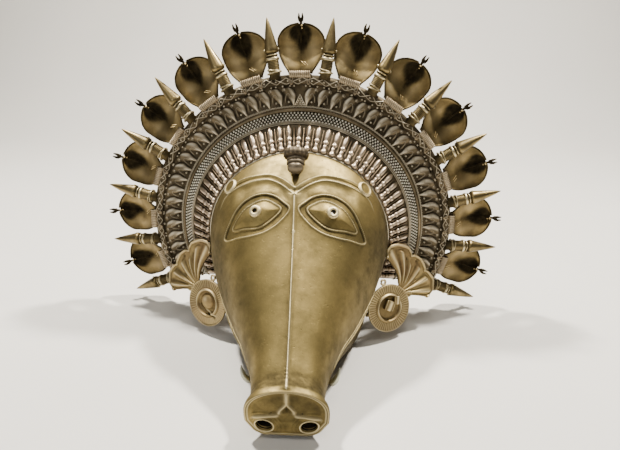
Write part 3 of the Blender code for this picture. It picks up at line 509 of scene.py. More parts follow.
def build_face_sheet(inner):
    """The face as a sheet of faces over the columns and rows; the outer one is finer round the eyes."""
    bm = bmesh.new()
    rows = face_rows + nose_rows
    wide = sole_columns * 2
    bmesh.ops.create_grid(bm, x_segments=wide, y_segments=rows, size=1.0)
    for v in bm.verts:
        v.co = Vector((v.co.x * sole_columns, (v.co.y + 1) / 2 * rows, 0.0))
    mouth = []
    mouth_from, mouth_to = 0.192, 0.727
    fine_cuts = 3
    for face in bm.faces:
        middle = face.calc_center_median()
        reach = np.interp(middle.y, row_table, reach_table)
        if cheek_columns < abs(middle.x) < mouth_columns and mouth_from < reach < mouth_to:
            mouth.append(face)
    bmesh.ops.delete(bm, geom=mouth, context="FACES")
    if not inner:
        eyes = [face for face in bm.faces if abs(face.calc_center_median().x) < 40
                and 5 < face.calc_center_median().y < 42]
        cut = {edge for face in eyes for edge in face.edges}
        bmesh.ops.subdivide_edges(bm, edges=list(cut), cuts=fine_cuts, use_grid_fill=True)
        brow = [edge for edge in bm.edges if 42 <= (edge.verts[0].co.y + edge.verts[1].co.y) / 2
                and abs(edge.verts[0].co.x) <= 2 and abs(edge.verts[1].co.x) <= 2
                and (edge.verts[0].co.y + edge.verts[1].co.y) / 2 < face_rows - 6]
        bmesh.ops.subdivide_edges(bm, edges=brow, cuts=fine_cuts, use_grid_fill=True)
    flat = np.array([v.co[:2] for v in bm.verts])
    places = face_place(flat[:, 0], flat[:, 1])
    return bm, flat, places


def lining_place(column, row):
    """The wall's inner side behind a column and a row of the face's grid."""
    places = face_place(column, row) - surface_normal(column, np.minimum(row, face_rows - 0.2)) * face_wall
    places[:, 2] = np.maximum(places[:, 2], face_wall)
    places[:, 1] = np.maximum(places[:, 1], face_y(1.0) + rim_sinks[-1] + face_wall)
    return places


def nose_sheet(inner):
    """The nose's front inside its rim, as a sheet whose border meets the rim's last row point for point."""
    bm = bmesh.new()
    bmesh.ops.create_grid(bm, x_segments=52, y_segments=26, size=1.0)
    if not inner:
        middle = [face for face in bm.faces if all(abs(v.co.x) < 0.99 and abs(v.co.y) < 0.99
                                                   for v in face.verts)]
        cut = {edge for face in middle for edge in face.edges}
        bmesh.ops.subdivide_edges(bm, edges=list(cut), cuts=2, use_grid_fill=True)
    square = np.array([v.co[:2] for v in bm.verts])
    size = np.maximum(np.abs(square).max(axis=1), 1e-6)
    a, b = square[:, 0] / size, square[:, 1] / size
    side = np.where(a >= 0, 1.0, -1.0)
    run = np.where(b > 0.9999, np.abs(a) * 26, np.where(b < -0.9999, 52 + (1 - np.abs(a)) * 26,
                                                        26 + (1 - b) * 13))
    last_row = np.full(len(run), float(face_rows + nose_rows))
    border = (lining_place if inner else face_place)(side * run, last_row)
    centre = nose_middle + (0, face_y(1.0) + rim_sinks[-1] + (face_wall if inner else 0.0), 0)
    places = centre + (border - centre) * size[:, None]
    return bm, places, size


nostril_tilt = math.radians(18.0)
nostril_places = [np.array((side * 0.0225 + snout_drift, 0.0172)) for side in (-1, 1)]


def nose_relief(places, size):
    """Forward relief of the nose's front: panels, septum, wrinkles and the pit, with their dark marks."""
    x = places[:, 0] - snout_drift
    z = places[:, 2]
    rise = np.zeros(len(x))
    dark = np.zeros(len(x))
    bright = np.zeros(len(x))
    branch = np.abs(np.abs(x) - 0.0075 * ease((0.0445 - z) / 0.012))
    septum = ease((z - 0.0285) / 0.004) * hump(branch, 0.0019)
    septum = np.maximum(septum, hump(x, 0.0022) * ease((z - 0.0425) / 0.003))
    bar = hump(z - (0.0278 - 0.09 * (np.abs(x) - 0.02)), 0.0016) * ease((np.abs(x) - 0.006) / 0.004) \
        * ease((0.036 - np.abs(x)) / 0.004)
    rise += 0.0017 * np.maximum(septum, bar)
    bright = np.maximum(bright, 0.5 * np.maximum(septum, bar))
    panel = ease((z - 0.0300) / 0.003) * (1 - septum) * ease((0.985 - size) / 0.1)
    rise -= 0.0006 * panel
    dark = np.maximum(dark, 0.30 + 0.26 * panel)
    pit = hump(np.hypot(x, z - 0.0352), 0.0017)
    rise -= 0.0022 * pit
    dark = np.maximum(dark, pit)
    philtrum = ease((0.026 - z) / 0.005) * ease((0.016 - np.abs(x)) / 0.006)
    rise += 0.0014 * philtrum
    for nostril in nostril_places:
        gap_x, gap_z = places[:, 0] - nostril[0], z - nostril[1]
        tilt = nostril_tilt * np.sign(nostril[0] - snout_drift)
        along = gap_x * math.cos(tilt) + gap_z * math.sin(tilt)
        up = -gap_x * math.sin(tilt) + gap_z * math.cos(tilt)
        ring = np.hypot(along / 0.0083, up / 0.0058)
        inner_side = ease((-np.sign(nostril[0] - snout_drift) * along) / 0.006)
        wrinkle = hump(ring - 1.9, 0.16) + hump(ring - 2.35, 0.16)
        rise += 0.0007 * wrinkle * (0.35 + 0.65 * inner_side)
        dark = np.maximum(dark, 0.5 * (hump(ring - 1.66, 0.1) + hump(ring - 2.12, 0.1)))
        rise += 0.0012 * hump(ring - 1.3, 0.28)
        pinhole = hump(np.hypot(gap_x + 0.007 * np.sign(nostril[0] - snout_drift), gap_z - 0.0140), 0.0009)
        rise -= 0.0015 * pinhole
        dark = np.maximum(dark, pinhole)
    return np.minimum(rise, rim_sinks[-1] - 0.0002), dark, bright


def mark(bm, dark, bright):
    """Gives every point of a bmesh its darkening, for patina in the hollows and painted shade, and its
    brightening, for wear on the crests and painted highlights.
    """
    recess = bm.verts.layers.float.get("recess") or bm.verts.layers.float.new("recess")
    wear_and_highlight = bm.verts.layers.float.get("wear_and_highlight") or bm.verts.layers.float.new("wear_and_highlight")
    dark = np.broadcast_to(dark, len(bm.verts))
    bright = np.broadcast_to(bright, len(bm.verts))
    for v, low, high in zip(bm.verts, dark, bright):
        v[recess] = float(low)
        v[wear_and_highlight] = float(high)


def set_places(bm, places):
    for v, place in zip(bm.verts, places):
        v.co = place


def pour(target, source):
    """Adds the source bmesh to the target one and empties it."""
    mesh = bpy.data.meshes.new("pour")
    source.to_mesh(mesh)
    source.free()
    target.from_mesh(mesh)
    bpy.data.meshes.remove(mesh)


outer, outer_flat, outer_places = build_face_sheet(inner=False)
outer_rise, outer_dark, outer_bright = face_relief(outer_places, outer_flat[:, 0])
outer_normal = surface_normal(outer_flat[:, 0], np.minimum(outer_flat[:, 1], face_rows - 0.2))
set_places(outer, outer_places + outer_normal * outer_rise[:, None])
over_rim = outer_flat[:, 1] - face_rows
rim_crest = np.maximum(hump(over_rim - 1.8, 0.7), hump(over_rim - 4.0, 0.6))
outer_dark = np.maximum(outer_dark, np.where(over_rim > 0, 0.8 * hump(over_rim - 3, 0.5), 0))
outer_bright = np.maximum(outer_bright, np.where(over_rim > 0, 0.5 * rim_crest, 0))
outer_dark = np.maximum(outer_dark, np.where(over_rim > 0, 0.3 * (1 - rim_crest), 0))
# Painted shade: a dark band along the cheeks' lower edge, where the mouth opens.
mouth_edge = hump(np.abs(outer_flat[:, 0]) - cheek_columns, 1.2) * 0.4
mark(outer, np.maximum(outer_dark, mouth_edge), outer_bright)

nose, nose_places, nose_size = nose_sheet(inner=False)
nose_rise, nose_dark, nose_bright = nose_relief(nose_places, nose_size)
nose_places[:, 1] -= nose_rise * ease((1 - nose_size) / 0.06)
set_places(nose, nose_places)
mark(nose, nose_dark, nose_bright)
pour(outer, nose)

inner, inner_flat, _ = build_face_sheet(inner=True)
set_places(inner, lining_place(inner_flat[:, 0], inner_flat[:, 1]))
lining, lining_places, _ = nose_sheet(inner=True)
set_places(lining, lining_places)
pour(inner, lining)
# Painted shade: the whole inner wall is marked fully dark, as the inside of the hollow.
mark(inner, 1.0, 0.0)
for sheet in (outer, inner):
    bmesh.ops.remove_doubles(sheet, verts=sheet.verts, dist=0.00005)
bmesh.ops.reverse_faces(inner, faces=inner.faces)
pour(outer, inner)
face_bm = outer
# The opening behind and the two beside the mouth are each joined by itself, or faces would cross the hollow.
open_edges = [edge for edge in face_bm.edges if len(edge.link_faces) == 1]
behind = [edge for edge in open_edges if min(v.co.y for v in edge.verts) > crown_y - 2 * face_wall]
beside = [edge for edge in open_edges if min(v.co.y for v in edge.verts) <= crown_y - 2 * face_wall]
for opening in (behind, [edge for edge in beside if edge.verts[0].co.x < 0],
                [edge for edge in beside if edge.verts[0].co.x > 0]):
    bmesh.ops.bridge_loops(face_bm, edges=opening)
bmesh.ops.recalc_face_normals(face_bm, faces=face_bm.faces)

face_brass = brass("aged_face_brass", (0.445, 0.332, 0.120), (0.12, 0.093, 0.036),
                   (0.92, 0.79, 0.48), mottle=17.0, cover=0.52, matte=0.33)
face = finish_piece("face_cast", face_bm, face_brass, ("face_shell",))

# The pupils and the bosses: turned brass rings and discs cast on the face. Each pupil is a short tube with a
# thick rim round a real hole; each boss is a low disc at the brow's outer end. The nostrils' rims and the two
# thin lines along each lip are cast so too.
def turned(bm, profile, place, segments=28, closed=True):
    """Adds a shape turned about its own Z: (radius, height) points from the inside or top to the foot."""
    new = bmesh.new()
    points = [new.verts.new((radius, 0.0, height)) for radius, height in profile]
    pairs = list(zip(points, points[1:] + points[:1])) if closed else list(zip(points, points[1:]))
    edges = [new.edges.new(pair) for pair in pairs]
    bmesh.ops.spin(new, geom=points + edges, cent=(0, 0, 0), axis=(0, 0, 1), angle=math.tau, steps=segments,
                   use_merge=True)
    bmesh.ops.remove_doubles(new, verts=new.verts, dist=0.000005)
    bmesh.ops.recalc_face_normals(new, faces=new.faces)
    new.transform(place)
    pour(bm, new)


def square_to_face(shares_in_view, side):
    """The place of a round piece that stands square on the face at a point of the front view."""
    x = np.array((side * shares_in_view[0] * half_face,))
    z = np.array((shares_in_view[1] * face_top,))
    step = 0.002
    across = (on_face(x + step, z) - on_face(x - step, z))[0]
    upwards = (on_face(x, z + step) - on_face(x, z - step))[0]
    normal = Vector(np.cross(across, upwards)).normalized()
    return Matrix.Translation(on_face(x, z)[0]) @ normal.to_track_quat("Z", "Y").to_matrix().to_4x4()


def pierce(piece, place, wide, high, depth):
    """Cuts a round or oval hole. It leaves gaps in a piece's faces that have more than four corners."""
    drill = bmesh.new()
    bmesh.ops.create_cone(drill, cap_ends=True, segments=32, radius1=1.0, radius2=1.0, depth=1.0)
    drill.transform(place @ Matrix.Diagonal((wide, high, depth, 1.0)))
    drill_mesh = bpy.data.meshes.new("drill")
    drill.to_mesh(drill_mesh)
    drill.free()
    drill_piece = bpy.data.objects.new("drill", drill_mesh)
    bpy.context.scene.collection.objects.link(drill_piece)
    cut = piece.modifiers.new("cut", "BOOLEAN")
    cut.operation = "DIFFERENCE"
    cut.solver = "EXACT"
    cut.object = drill_piece
    bpy.context.view_layer.update()
    pierced = bpy.data.meshes.new_from_object(piece.evaluated_get(bpy.context.evaluated_depsgraph_get()))
    piece.modifiers.clear()
    piece.data = pierced
    bpy.data.objects.remove(drill_piece)


def swept_wire(bm, points, radius, sides=6, taper=None, closed=False, flat=1.0):
    """A wire through the points: a small circle drawn along them ring by ring."""
    points = [Vector(point) for point in points]
    count = len(points)
    new = bmesh.new()
    bmesh.ops.create_circle(new, cap_ends=False, segments=sides, radius=1.0)
    first_ring = ring = list(new.edges)
    last_place = Matrix()
    for index, point in enumerate(points):
        before = points[index - 1] if closed or index > 0 else point
        after = points[(index + 1) % count] if closed or index < count - 1 else point
        along = (after - before).normalized()
        sideways = along.cross(Vector((0, 1, 0)))
        if sideways.length <= 0.05:
            sideways = along.cross(Vector((1, 0, 0)))
        sideways = sideways.normalized()
        up = along.cross(sideways).normalized()
        size = radius * (taper[index] if taper else 1.0)
        place = Matrix((sideways * size, up * size * flat, along)).transposed().to_4x4()
        place.translation = point
        if index > 0:
            grown = bmesh.ops.extrude_edge_only(new, edges=ring)["geom"]
            grown_verts = {part for part in grown if isinstance(part, bmesh.types.BMVert)}
            ring = [part for part in grown if isinstance(part, bmesh.types.BMEdge)
                    and grown_verts.issuperset(part.verts)]
        bmesh.ops.transform(new, matrix=place @ last_place.inverted(),
                            verts=list({v for edge in ring for v in edge.verts}))
        last_place = place
    if closed:
        bmesh.ops.bridge_loops(new, edges=first_ring + ring)
    else:
        bmesh.ops.edgeloop_fill(new, edges=first_ring)
        bmesh.ops.edgeloop_fill(new, edges=ring)
    bmesh.ops.recalc_face_normals(new, faces=new.faces)
    pour(bm, new)


def cast_ring(profile, place, segments, hole, bright_from, closed=True):
    """Adds a turned fitting with painted shade in its hole, at its foot and underneath, and bright with wear
    on its crest.
    """
    ring = bmesh.new()
    turned(ring, profile, Matrix(), segments, closed)
    foot = max(radius for radius, height in profile) - 0.0008
    radii = [math.hypot(v.co.x, v.co.y) for v in ring.verts]
    mark(ring, [0.95 if radius < hole or radius > foot or v.co.z < -0.001 else 0.12
                for radius, v in zip(radii, ring.verts)],
         [0.75 * (radius > bright_from and v.co.z > 0.0) for radius, v in zip(radii, ring.verts)])
    ring.transform(place)
    pour(turned_bm, ring)


turned_bm = bmesh.new()
for side in (-1, 1):
    eye = square_to_face(pupil_place, side)
    cast_ring(((0.0027, 0.0052), (0.0033, 0.0060), (0.0044, 0.0062), (0.0058, 0.0060), (0.0069, 0.0050),
               (0.0073, 0.0036), (0.0074, 0.0010), (0.0080, -0.0004), (0.0070, -0.0040),
               (0.0030, -0.0050), (0.0026, -0.0010)), eye, 28, 0.0029, 0.0030)
    pierce(face, eye, 0.0027, 0.0027, 0.03)
    cast_ring(((0.0, 0.0022), (0.0040, 0.0021), (0.0068, 0.0018), (0.0080, 0.0026), (0.0092, 0.0024),
               (0.0098, 0.0006), (0.0106, -0.0004), (0.0104, -0.0030), (0.0, -0.0030)),
              square_to_face((0.715, 0.828), side), 28, 0.0, 0.0076, closed=False)
    for lip_column, lip_radius in ((cheek_columns - 0.1, 0.0010), (cheek_columns - 2.2, 0.0007)):
        lip_rows = np.interp(np.linspace(0.185, 0.735, 34), reach_table, row_table)
        lip_line = face_place(np.full(34, side * lip_column), lip_rows)
        lip_wire = bmesh.new()
        swept_wire(lip_wire, lip_line, lip_radius, sides=8,
                   taper=[0.55 + 0.45 * ease(min(step, 33 - step) / 4) for step in range(34)])
        mark(lip_wire, 0.25, 0.25)
        pour(turned_bm, lip_wire)
    nostril = nostril_places[0 if side < 0 else 1]
    hole = (Matrix.Translation((nostril[0], face_y(1.0), nostril[1]))
            @ Matrix.Rotation(math.radians(90), 4, "X") @ Matrix.Rotation(nostril_tilt * side, 4, "Z")
            @ Matrix.Diagonal((1.0, 0.72, 1.0, 1.0)))
    cast_ring(((0.0082, -0.0022), (0.0086, -0.0004), (0.0094, 0.0005), (0.0100, 0.0006),
               (0.0108, -0.0002), (0.0114, -0.0016), (0.0118, -0.0040), (0.0088, -0.0052),
               (0.0081, -0.0040)), hole, 36, 0.0084, 0.0088)
    pierce(face, hole, 0.0082, 0.0082, 0.03)
finish_piece("face_fittings", turned_bm, face_brass, ("face_shell",))

# The crown's plate and collar: one brass casting turned through the crown's arc: a cone that hugs the face,
# a flat plate behind the ornament, a rib between its bands, and a thick rim.
crown_span = 237.0
crown_arc = math.radians(crown_span / 2)
collar_radius = 0.1148
grain_radius = 0.1428
rib_radius = 0.1568
leaf_radius = 0.1618
rim_radius = 0.1888
outer_radius = 0.1998
cone_lean = math.radians(41.0)
collar_rise = math.tan(cone_lean)
plate_front = collar_seat - (leaf_radius - collar_radius) * collar_rise
plate_thickness = 0.0045
rim_depth = 0.010


def crown_forward(radius):
    """How far the collar's cone and the plate stand in front of the crown's plane at a radius."""
    return max(plate_front, collar_seat - (radius - collar_radius) * collar_rise)


def crown_place(angle):
    """From a piece drawn upright over the crown's centre to its place round the crown, in degrees."""
    return Matrix.Translation((0.0, crown_y, crown_height)) @ Matrix.Rotation(math.radians(angle), 4, "Y")


def on_cone(radius, lift=0.0):
    """A point over the crown's centre at a radius, lifted off the cone or the plate."""
    lean = cone_lean if radius < leaf_radius else 0.0
    return Vector((0.0, -crown_forward(radius) - lift * math.cos(lean), radius + lift * math.sin(lean)))


def round_crown(bm, profile, segments):
    """Sweeps a closed profile of (radius, forward) points round the crown's arc and closes both ends."""
    new = bmesh.new()
    points = [new.verts.new((0.0, -forward, radius)) for radius, forward in profile]
    for pair in zip(points, points[1:] + points[:1]):
        new.edges.new(pair)
    cap = new.faces.new(points)
    bmesh.ops.rotate(new, verts=points, cent=(0, 0, 0), matrix=Matrix.Rotation(-crown_arc, 3, "Y"))
    bmesh.ops.spin(new, geom=[cap], cent=(0, 0, 0), axis=(0, 1, 0), angle=2 * crown_arc, steps=segments)
    bmesh.ops.recalc_face_normals(new, faces=new.faces)
    new.transform(Matrix.Translation((0.0, crown_y, crown_height)))
    pour(bm, new)


def ring_profile(radius, lift, wide, high, sides=8):
    """A rounded bead of a given width and height lying on the crown at a radius."""
    middle = on_cone(radius, lift)
    return [(middle.z + wide / 2 * math.sin(math.tau * i / sides),
             -middle.y + high / 2 * math.cos(math.tau * i / sides)) for i in range(sides)]


crown_bm = bmesh.new()
base_profile = [(collar_radius, collar_seat)]
for radius in (0.1170, 0.1250, 0.1340, grain_radius, 0.1455):
    base_profile.append((radius, crown_forward(radius) - 0.0012))
base_profile += [(0.1480, crown_forward(0.1480) - 0.0010), (0.1550, crown_forward(0.1550) - 0.0010),
                 (rib_radius, crown_forward(rib_radius) + 0.0006), (rib_radius + 0.0010, 0.0196),
                 (rib_radius + 0.0036, 0.0176), (leaf_radius - 0.0004, plate_front + 0.0004),
                 (leaf_radius + 0.0004, plate_front - 0.0012), (rim_radius - 0.0020, plate_front - 0.0012),
                 (rim_radius, plate_front + 0.0002)]
for step in range(1, 12):
    turn = math.pi * step / 12
    base_profile.append((rim_radius + 0.0050 - 0.0050 * math.cos(turn),
                         plate_front + 0.0026 * math.sin(turn)))
base_profile += [(outer_radius, plate_front - 0.0005), (outer_radius, plate_front - rim_depth + 0.001),
                 (outer_radius - 0.001, plate_front - rim_depth),
                 (rim_radius + 0.0005, plate_front - rim_depth),
                 (rim_radius - 0.0035, plate_front - plate_thickness),
                 (leaf_radius, plate_front - plate_thickness),
                 (collar_radius, collar_seat - 0.0060)]
round_crown(crown_bm, base_profile, 160)
for radius, lift, wide, high in ((0.1438, 0.0006, 0.0013, 0.0020), (0.1457, 0.0005, 0.0011, 0.0018),
                                 (0.1147, 0.0000, 0.0018, 0.0020), (0.1172, -0.0002, 0.0010, 0.0014)):
    round_crown(crown_bm, ring_profile(radius, lift, wide, high), 160)
from_centre = np.array([math.hypot(v.co.x, v.co.z - crown_height) for v in crown_bm.verts])
front_side = np.array([v.co.y < crown_y - plate_front + 0.003 for v in crown_bm.verts])
crown_dark = np.where(front_side, 0.62, 0.4) + 0.35 * hump(from_centre - 0.1512, 0.006)
for radius, width in ((0.1147, 0.0008), (0.1438, 0.0007), (0.1457, 0.0006),
                      (rib_radius + 0.0022, 0.0018)):
    crown_dark -= 0.75 * hump(from_centre - radius, width) * front_side
crown_bright = np.zeros(len(from_centre))
for radius, width in ((0.1438, 0.0006), (0.1457, 0.0006), (0.1147, 0.0006)):
    crown_bright = np.maximum(crown_bright, hump(from_centre - radius, width) * front_side)
mark(crown_bm, np.clip(crown_dark, 0, 1), crown_bright)
crown_brass = brass("aged_crown_brass", (0.30, 0.235, 0.145), (0.10, 0.080, 0.050),
                    (0.80, 0.72, 0.56), mottle=26.0, cover=0.45)
finish_piece("crown_casting", crown_bm, crown_brass, ("crown_halo",))


# The collar's balusters: forty-seven little turned brass rods cast on the cone, each with a flame-like outer
# end and two beads, with a thinner rod between each pair and a bead at the foot of the groove.
def bead(bm, place, radius, squash=1.0, cells=6):
    new = bmesh.new()
    bmesh.ops.create_uvsphere(new, u_segments=cells + 2, v_segments=cells, radius=radius)
    new.transform(place @ Matrix.Diagonal((1.0, 1.0, squash, 1.0)))
    pour(bm, new)


def stand_on(bm, make, places):
    """Builds a small shape once and sets copies of it at the places."""
    one = bmesh.new()
    make(one)
    pattern = bpy.data.meshes.new("pattern")
    one.to_mesh(pattern)
    one.free()
    for place in places:
        copy = pattern.copy()
        copy.transform(place)
        bm.from_mesh(copy)
        bpy.data.meshes.remove(copy)
    bpy.data.meshes.remove(pattern)


collar_length = 0.028 / math.cos(cone_lean)
rod_profile = ((0.0, 1.0), (0.0008, 0.985), (0.0018, 0.95), (0.0030, 0.88), (0.0035, 0.80), (0.0034, 0.66),
               (0.0030, 0.56), (0.0022, 0.525), (0.0030, 0.50), (0.0037, 0.455), (0.0037, 0.425),
               (0.0030, 0.385), (0.0021, 0.36), (0.0026, 0.33), (0.0027, 0.24), (0.0022, 0.205),
               (0.0031, 0.17), (0.0039, 0.115), (0.0037, 0.075), (0.0026, 0.035), (0.0, 0.015))
thin_profile = ((0.0, 0.92), (0.0007, 0.89), (0.0009, 0.80), (0.0009, 0.35), (0.0013, 0.30), (0.0016, 0.25),
                (0.0011, 0.20), (0.0008, 0.16), (0.0009, 0.05), (0.0, 0.03))
rod_back = 0.0018


def make_rod(bm, profile, segments):
    in_metres = [(radius, height * collar_length) for radius, height in profile]
    turned(bm, in_metres, Matrix(), segments, closed=False)
    for v in bm.verts:
        v.co.y = min(v.co.y, rod_back)
    heights = [v.co.z / collar_length for v in bm.verts]
    radii = [math.hypot(v.co.x, v.co.y) for v in bm.verts]
    # Painted shade on the thin necks and on the back of each rod, where it faces the cone; painted highlight
    # on the front of the thicker parts.
    neck_shade = [0.7 if radius < 0.0024 and 0.08 < height < 0.80 else 0.0
                  for height, radius in zip(heights, radii)]
    back = [0.9 if v.co.y > -0.0004 else 0.0 for v in bm.verts]
    dark = [max(pair) for pair in zip(neck_shade, back)]
    bright = [0.85 * min(1.0, radius / 0.0036) ** 2 * (v.co.y < -0.0006)
              for radius, v in zip(radii, bm.verts)]
    mark(bm, dark, bright)


on_collar = (Matrix.Translation(on_cone(collar_radius, 0.0002)) @ Matrix.Rotation(-cone_lean, 4, "X"))
rod_step = crown_span / 47
rod_angles = [(number - 23) * rod_step for number in range(47)]
gap_angles = [angle + rod_step / 2 for angle in rod_angles[:-1]]
rods_bm = bmesh.new()
for profile, corners, angles in ((rod_profile, 10, rod_angles), (thin_profile, 6, gap_angles)):
    stand_on(rods_bm, lambda bm: make_rod(bm, profile, corners),
             [crown_place(angle) @ on_collar for angle in angles])
rod_brass = brass("aged_rod_brass", (0.36, 0.26, 0.165), (0.13, 0.095, 0.065),
                  (0.80, 0.66, 0.50), mottle=30.0, cover=0.30)
finish_piece("collar_rods", rods_bm, rod_brass, ("crown_halo",))


# The granule band: four rows of tiny brass grains on a dark ground, cast with the crown, each row set half
# a step on from the last.
grain_rows = (0.1474, 0.1499, 0.1524, 0.1549)
grain_steps = 148


def make_grain(bm):
    bead(bm, Matrix.Translation((0.0, -0.0004, 0.0)), 0.00145, cells=5)
    # Painted shade on each grain's back half and a painted highlight on its front.
    mark(bm, [0.95 if v.co.y > -0.0002 else 0.0 for v in bm.verts],
         [1.0 if v.co.y < -0.0009 else 0.3 for v in bm.verts])


grains_bm = bmesh.new()
grain_step = 2 * math.degrees(crown_arc) / grain_steps
for row, radius in enumerate(grain_rows):
    row_place = Matrix.Translation(on_cone(radius, -0.0002)) @ Matrix.Rotation(-cone_lean, 4, "X")
    stand_on(grains_bm, make_grain,
             [crown_place((number - (grain_steps - 2 + row % 2) / 2) * grain_step) @ row_place
              for number in range(grain_steps - 1)])
grain_brass = brass("aged_grain_brass", (0.42, 0.37, 0.27), (0.10, 0.080, 0.050),
                    (0.93, 0.88, 0.76), mottle=60.0, cover=0.2)
finish_piece("grain_band", grains_bm, grain_brass, ("crown_halo",))

# The leaf band: forty-four cast leaves, twenty-two a side, that lean away from the middle, each a slender
# stem that widens to a teardrop, with an arch between neighbours, a curl and beads at the outer end.
leaf_count = 44
leaf_step = crown_span / leaf_count
leaf_length = 0.0235


def leaf_middle(share, hand):
    """The leaf's middle line: it starts at the band's foot and swings outwards to one hand."""
    return Vector((hand * (0.0072 * share**1.5), 0.0, leaf_length * share))


def make_leaf(bm, hand):
    new = bmesh.new()
    bmesh.ops.create_uvsphere(new, u_segments=10, v_segments=12, radius=1.0)
    for v in new.verts:
        share = (v.co.z + 1) / 2
        width = 0.0014 + 0.0056 * ease((share - 0.10) / 0.50) * (1 - ease((share - 0.78) / 0.24) * 0.6)
        round_share = math.sqrt(max(0.0, 1 - v.co.z**2)) or 1.0
        across, forward = v.co.x / round_share, v.co.y / round_share
        close = min(1.0, math.sqrt(max(0.0, 1 - v.co.z**2)) * 2.2)
        crease = 0.0007 * hump(across, 0.35) * ease((share - 0.35) / 0.2) * (forward < 0)
        v.co = leaf_middle(share, hand) + Vector((across * width * close,
                                                  forward * (0.0019 + 0.0012 * share) * close + crease, 0.0))
    dark, bright = [], []
    for v in new.verts:
        share = v.co.z / leaf_length
        outwards = (v.co.x - leaf_middle(max(share, 0.0), hand).x) * hand
        stem = hump(outwards + 0.0010 + 0.0026 * ease((share - 0.3) / 0.4), 0.0016) * (v.co.y < -0.0006)
        # Painted shade on the back half of each leaf, where it faces the plate.
        dark.append(0.85 if v.co.y > -0.0002 else 0.46 * (1 - stem))
        bright.append(1.0 * stem * (1 - 0.35 * ease((share - 0.55) / 0.4)))
    mark(new, dark, bright)
    pour(bm, new)
    arch = []
    for step in range(9):
        turn = math.pi * step / 8
        arch.append((hand * 0.0066 - 0.0036 * math.cos(turn), -0.0016,
                     0.0050 + 0.0110 * math.sin(turn) ** 0.8))
    swept = bmesh.new()
    swept_wire(swept, arch, 0.0008, sides=5)
    curl = []
    for step in range(10):
        turn = math.radians(-60 + 42 * step)
        size = 0.0024 - 0.00016 * step
        curl.append((hand * (0.0110 + size * math.cos(turn)), -0.0012 - 0.00008 * step,
                     0.0205 + size * math.sin(turn)))
    swept_wire(swept, curl, 0.0008, sides=5)
    # Painted shade on the backs of the arches and curls.
    mark(swept, [0.75 if v.co.y > -0.0011 else 0.40 for v in swept.verts], 0.2)
    pour(bm, swept)
    knobs = bmesh.new()
    bead(knobs, Matrix.Translation((hand * 0.0110, -0.0018, 0.0205)), 0.0010, cells=4)
    bead(knobs, Matrix.Translation((hand * 0.0062, -0.0012, 0.0055)), 0.0013, cells=5)
    bead(knobs, Matrix.Translation((hand * 0.0035, -0.0016, 0.0250)), 0.0012, cells=5)
    mark(knobs, 0.15, 0.8)
    pour(bm, knobs)


leaves_bm = bmesh.new()
for hand in (-1, 1):
    on_band = Matrix.Translation(on_cone(leaf_radius + 0.0008))
    places = [crown_place(hand * (number + 0.5) * leaf_step) @ on_band for number in range(leaf_count // 2)]
    stand_on(leaves_bm, lambda bm: make_leaf(bm, hand), places)
top_bead = crown_place(0.0) @ Matrix.Translation(on_cone(leaf_radius + 0.0065, 0.001))
cluster = bmesh.new()
for x, z in ((0, 0.0036), (-0.0014, 0.0010), (0.0014, 0.0010), (-0.0028, -0.0016), (0, -0.0016),
             (0.0028, -0.0016)):
    bead(cluster, Matrix.Translation((x, -0.0006, z)), 0.0013, cells=5)
swept_wire(cluster, ((-0.0060, 0, -0.0040), (0.0, 0, 0.0085), (0.0060, 0, -0.0040)), 0.0010, closed=True)
cluster.transform(top_bead)
mark(cluster, 0.0, 0.9)
pour(leaves_bm, cluster)
finish_piece("leaf_band", leaves_bm, crown_brass, ("crown_halo",))


# The rope line and the rim's bindings: two brass wires twisted along the inner edge of the leaves, two more
# that cross over the thick rim, and small pearls set where they meet.
def round_line(count, radius_at, forward_at, arc=0.998):
    line = []
    for index in range(count + 1):
        share = index / count
        angle = crown_arc * arc * (2 * share - 1)
        radius = radius_at(share)
        line.append((radius * math.sin(angle), crown_y - forward_at(share),
                     crown_height + radius * math.cos(angle)))
    return line


wires_bm = bmesh.new()
rope_turns = 92
rope_swing = 0.0008
for half_turn in (0.0, math.pi):
    def rope_radius(share):
        return leaf_radius + 0.0002 + rope_swing * math.sin(math.tau * rope_turns * share + half_turn)

    def rope_forward(share):
        return plate_front + 0.0008 + rope_swing * math.cos(math.tau * rope_turns * share + half_turn)

    swept_wire(wires_bm, round_line(rope_turns * 8, rope_radius, rope_forward), 0.00085, sides=5)
crossings = 54


def over_rim_height(wave):
    """How far forward a wire lies as it crosses the rounded rim, from -1 at the inside to 1 outside."""
    return plate_front + 0.0026 * math.sqrt(max(0.0, 1 - (0.9 * wave) ** 2)) + 0.0004


def zigzag(share, shift):
    """A wave from -1 to 1 that wanders a little, as wire wound by hand does."""
    phase = (share * crossings / 2 + shift + 0.10 * math.sin(share * 71 + shift * 9)) % 1.0
    return (1 - 4 * abs(phase - 0.5)) * (0.88 + 0.12 * math.sin(share * 137 + shift * 5))


for shift in (0.0, 0.5):
    swept_wire(wires_bm, round_line(crossings * 8, lambda s: rim_radius + 0.0052 + 0.0046 * zigzag(s, shift),
                                    lambda s: over_rim_height(zigzag(s, shift))), 0.00055, sides=5)
# Painted shade on the back half of the twisted and crossing wires, next to the plate.
mark(wires_bm, [0.25 + 0.5 * (v.co.y > crown_y - plate_front - 0.0006) for v in wires_bm.verts], 0.6)
pearls = bmesh.new()
for number in range(crossings + 1):
    angle = math.degrees(crown_arc) * 0.998 * (2 * number / crossings - 1)
    for radius, lift, size in ((rim_radius + 0.0052, 0.0026, 0.0013), (rim_radius - 0.0012, 0.0012, 0.0012)):
        bead(pearls, crown_place(angle + (0 if radius > rim_radius else 2.19))
             @ Matrix.Translation((0, -plate_front - lift, radius)), size, cells=5)
mark(pearls, 0.05, 0.75)
pour(wires_bm, pearls)
finish_piece("rim_wires", wires_bm, crown_brass, ("crown_halo",))

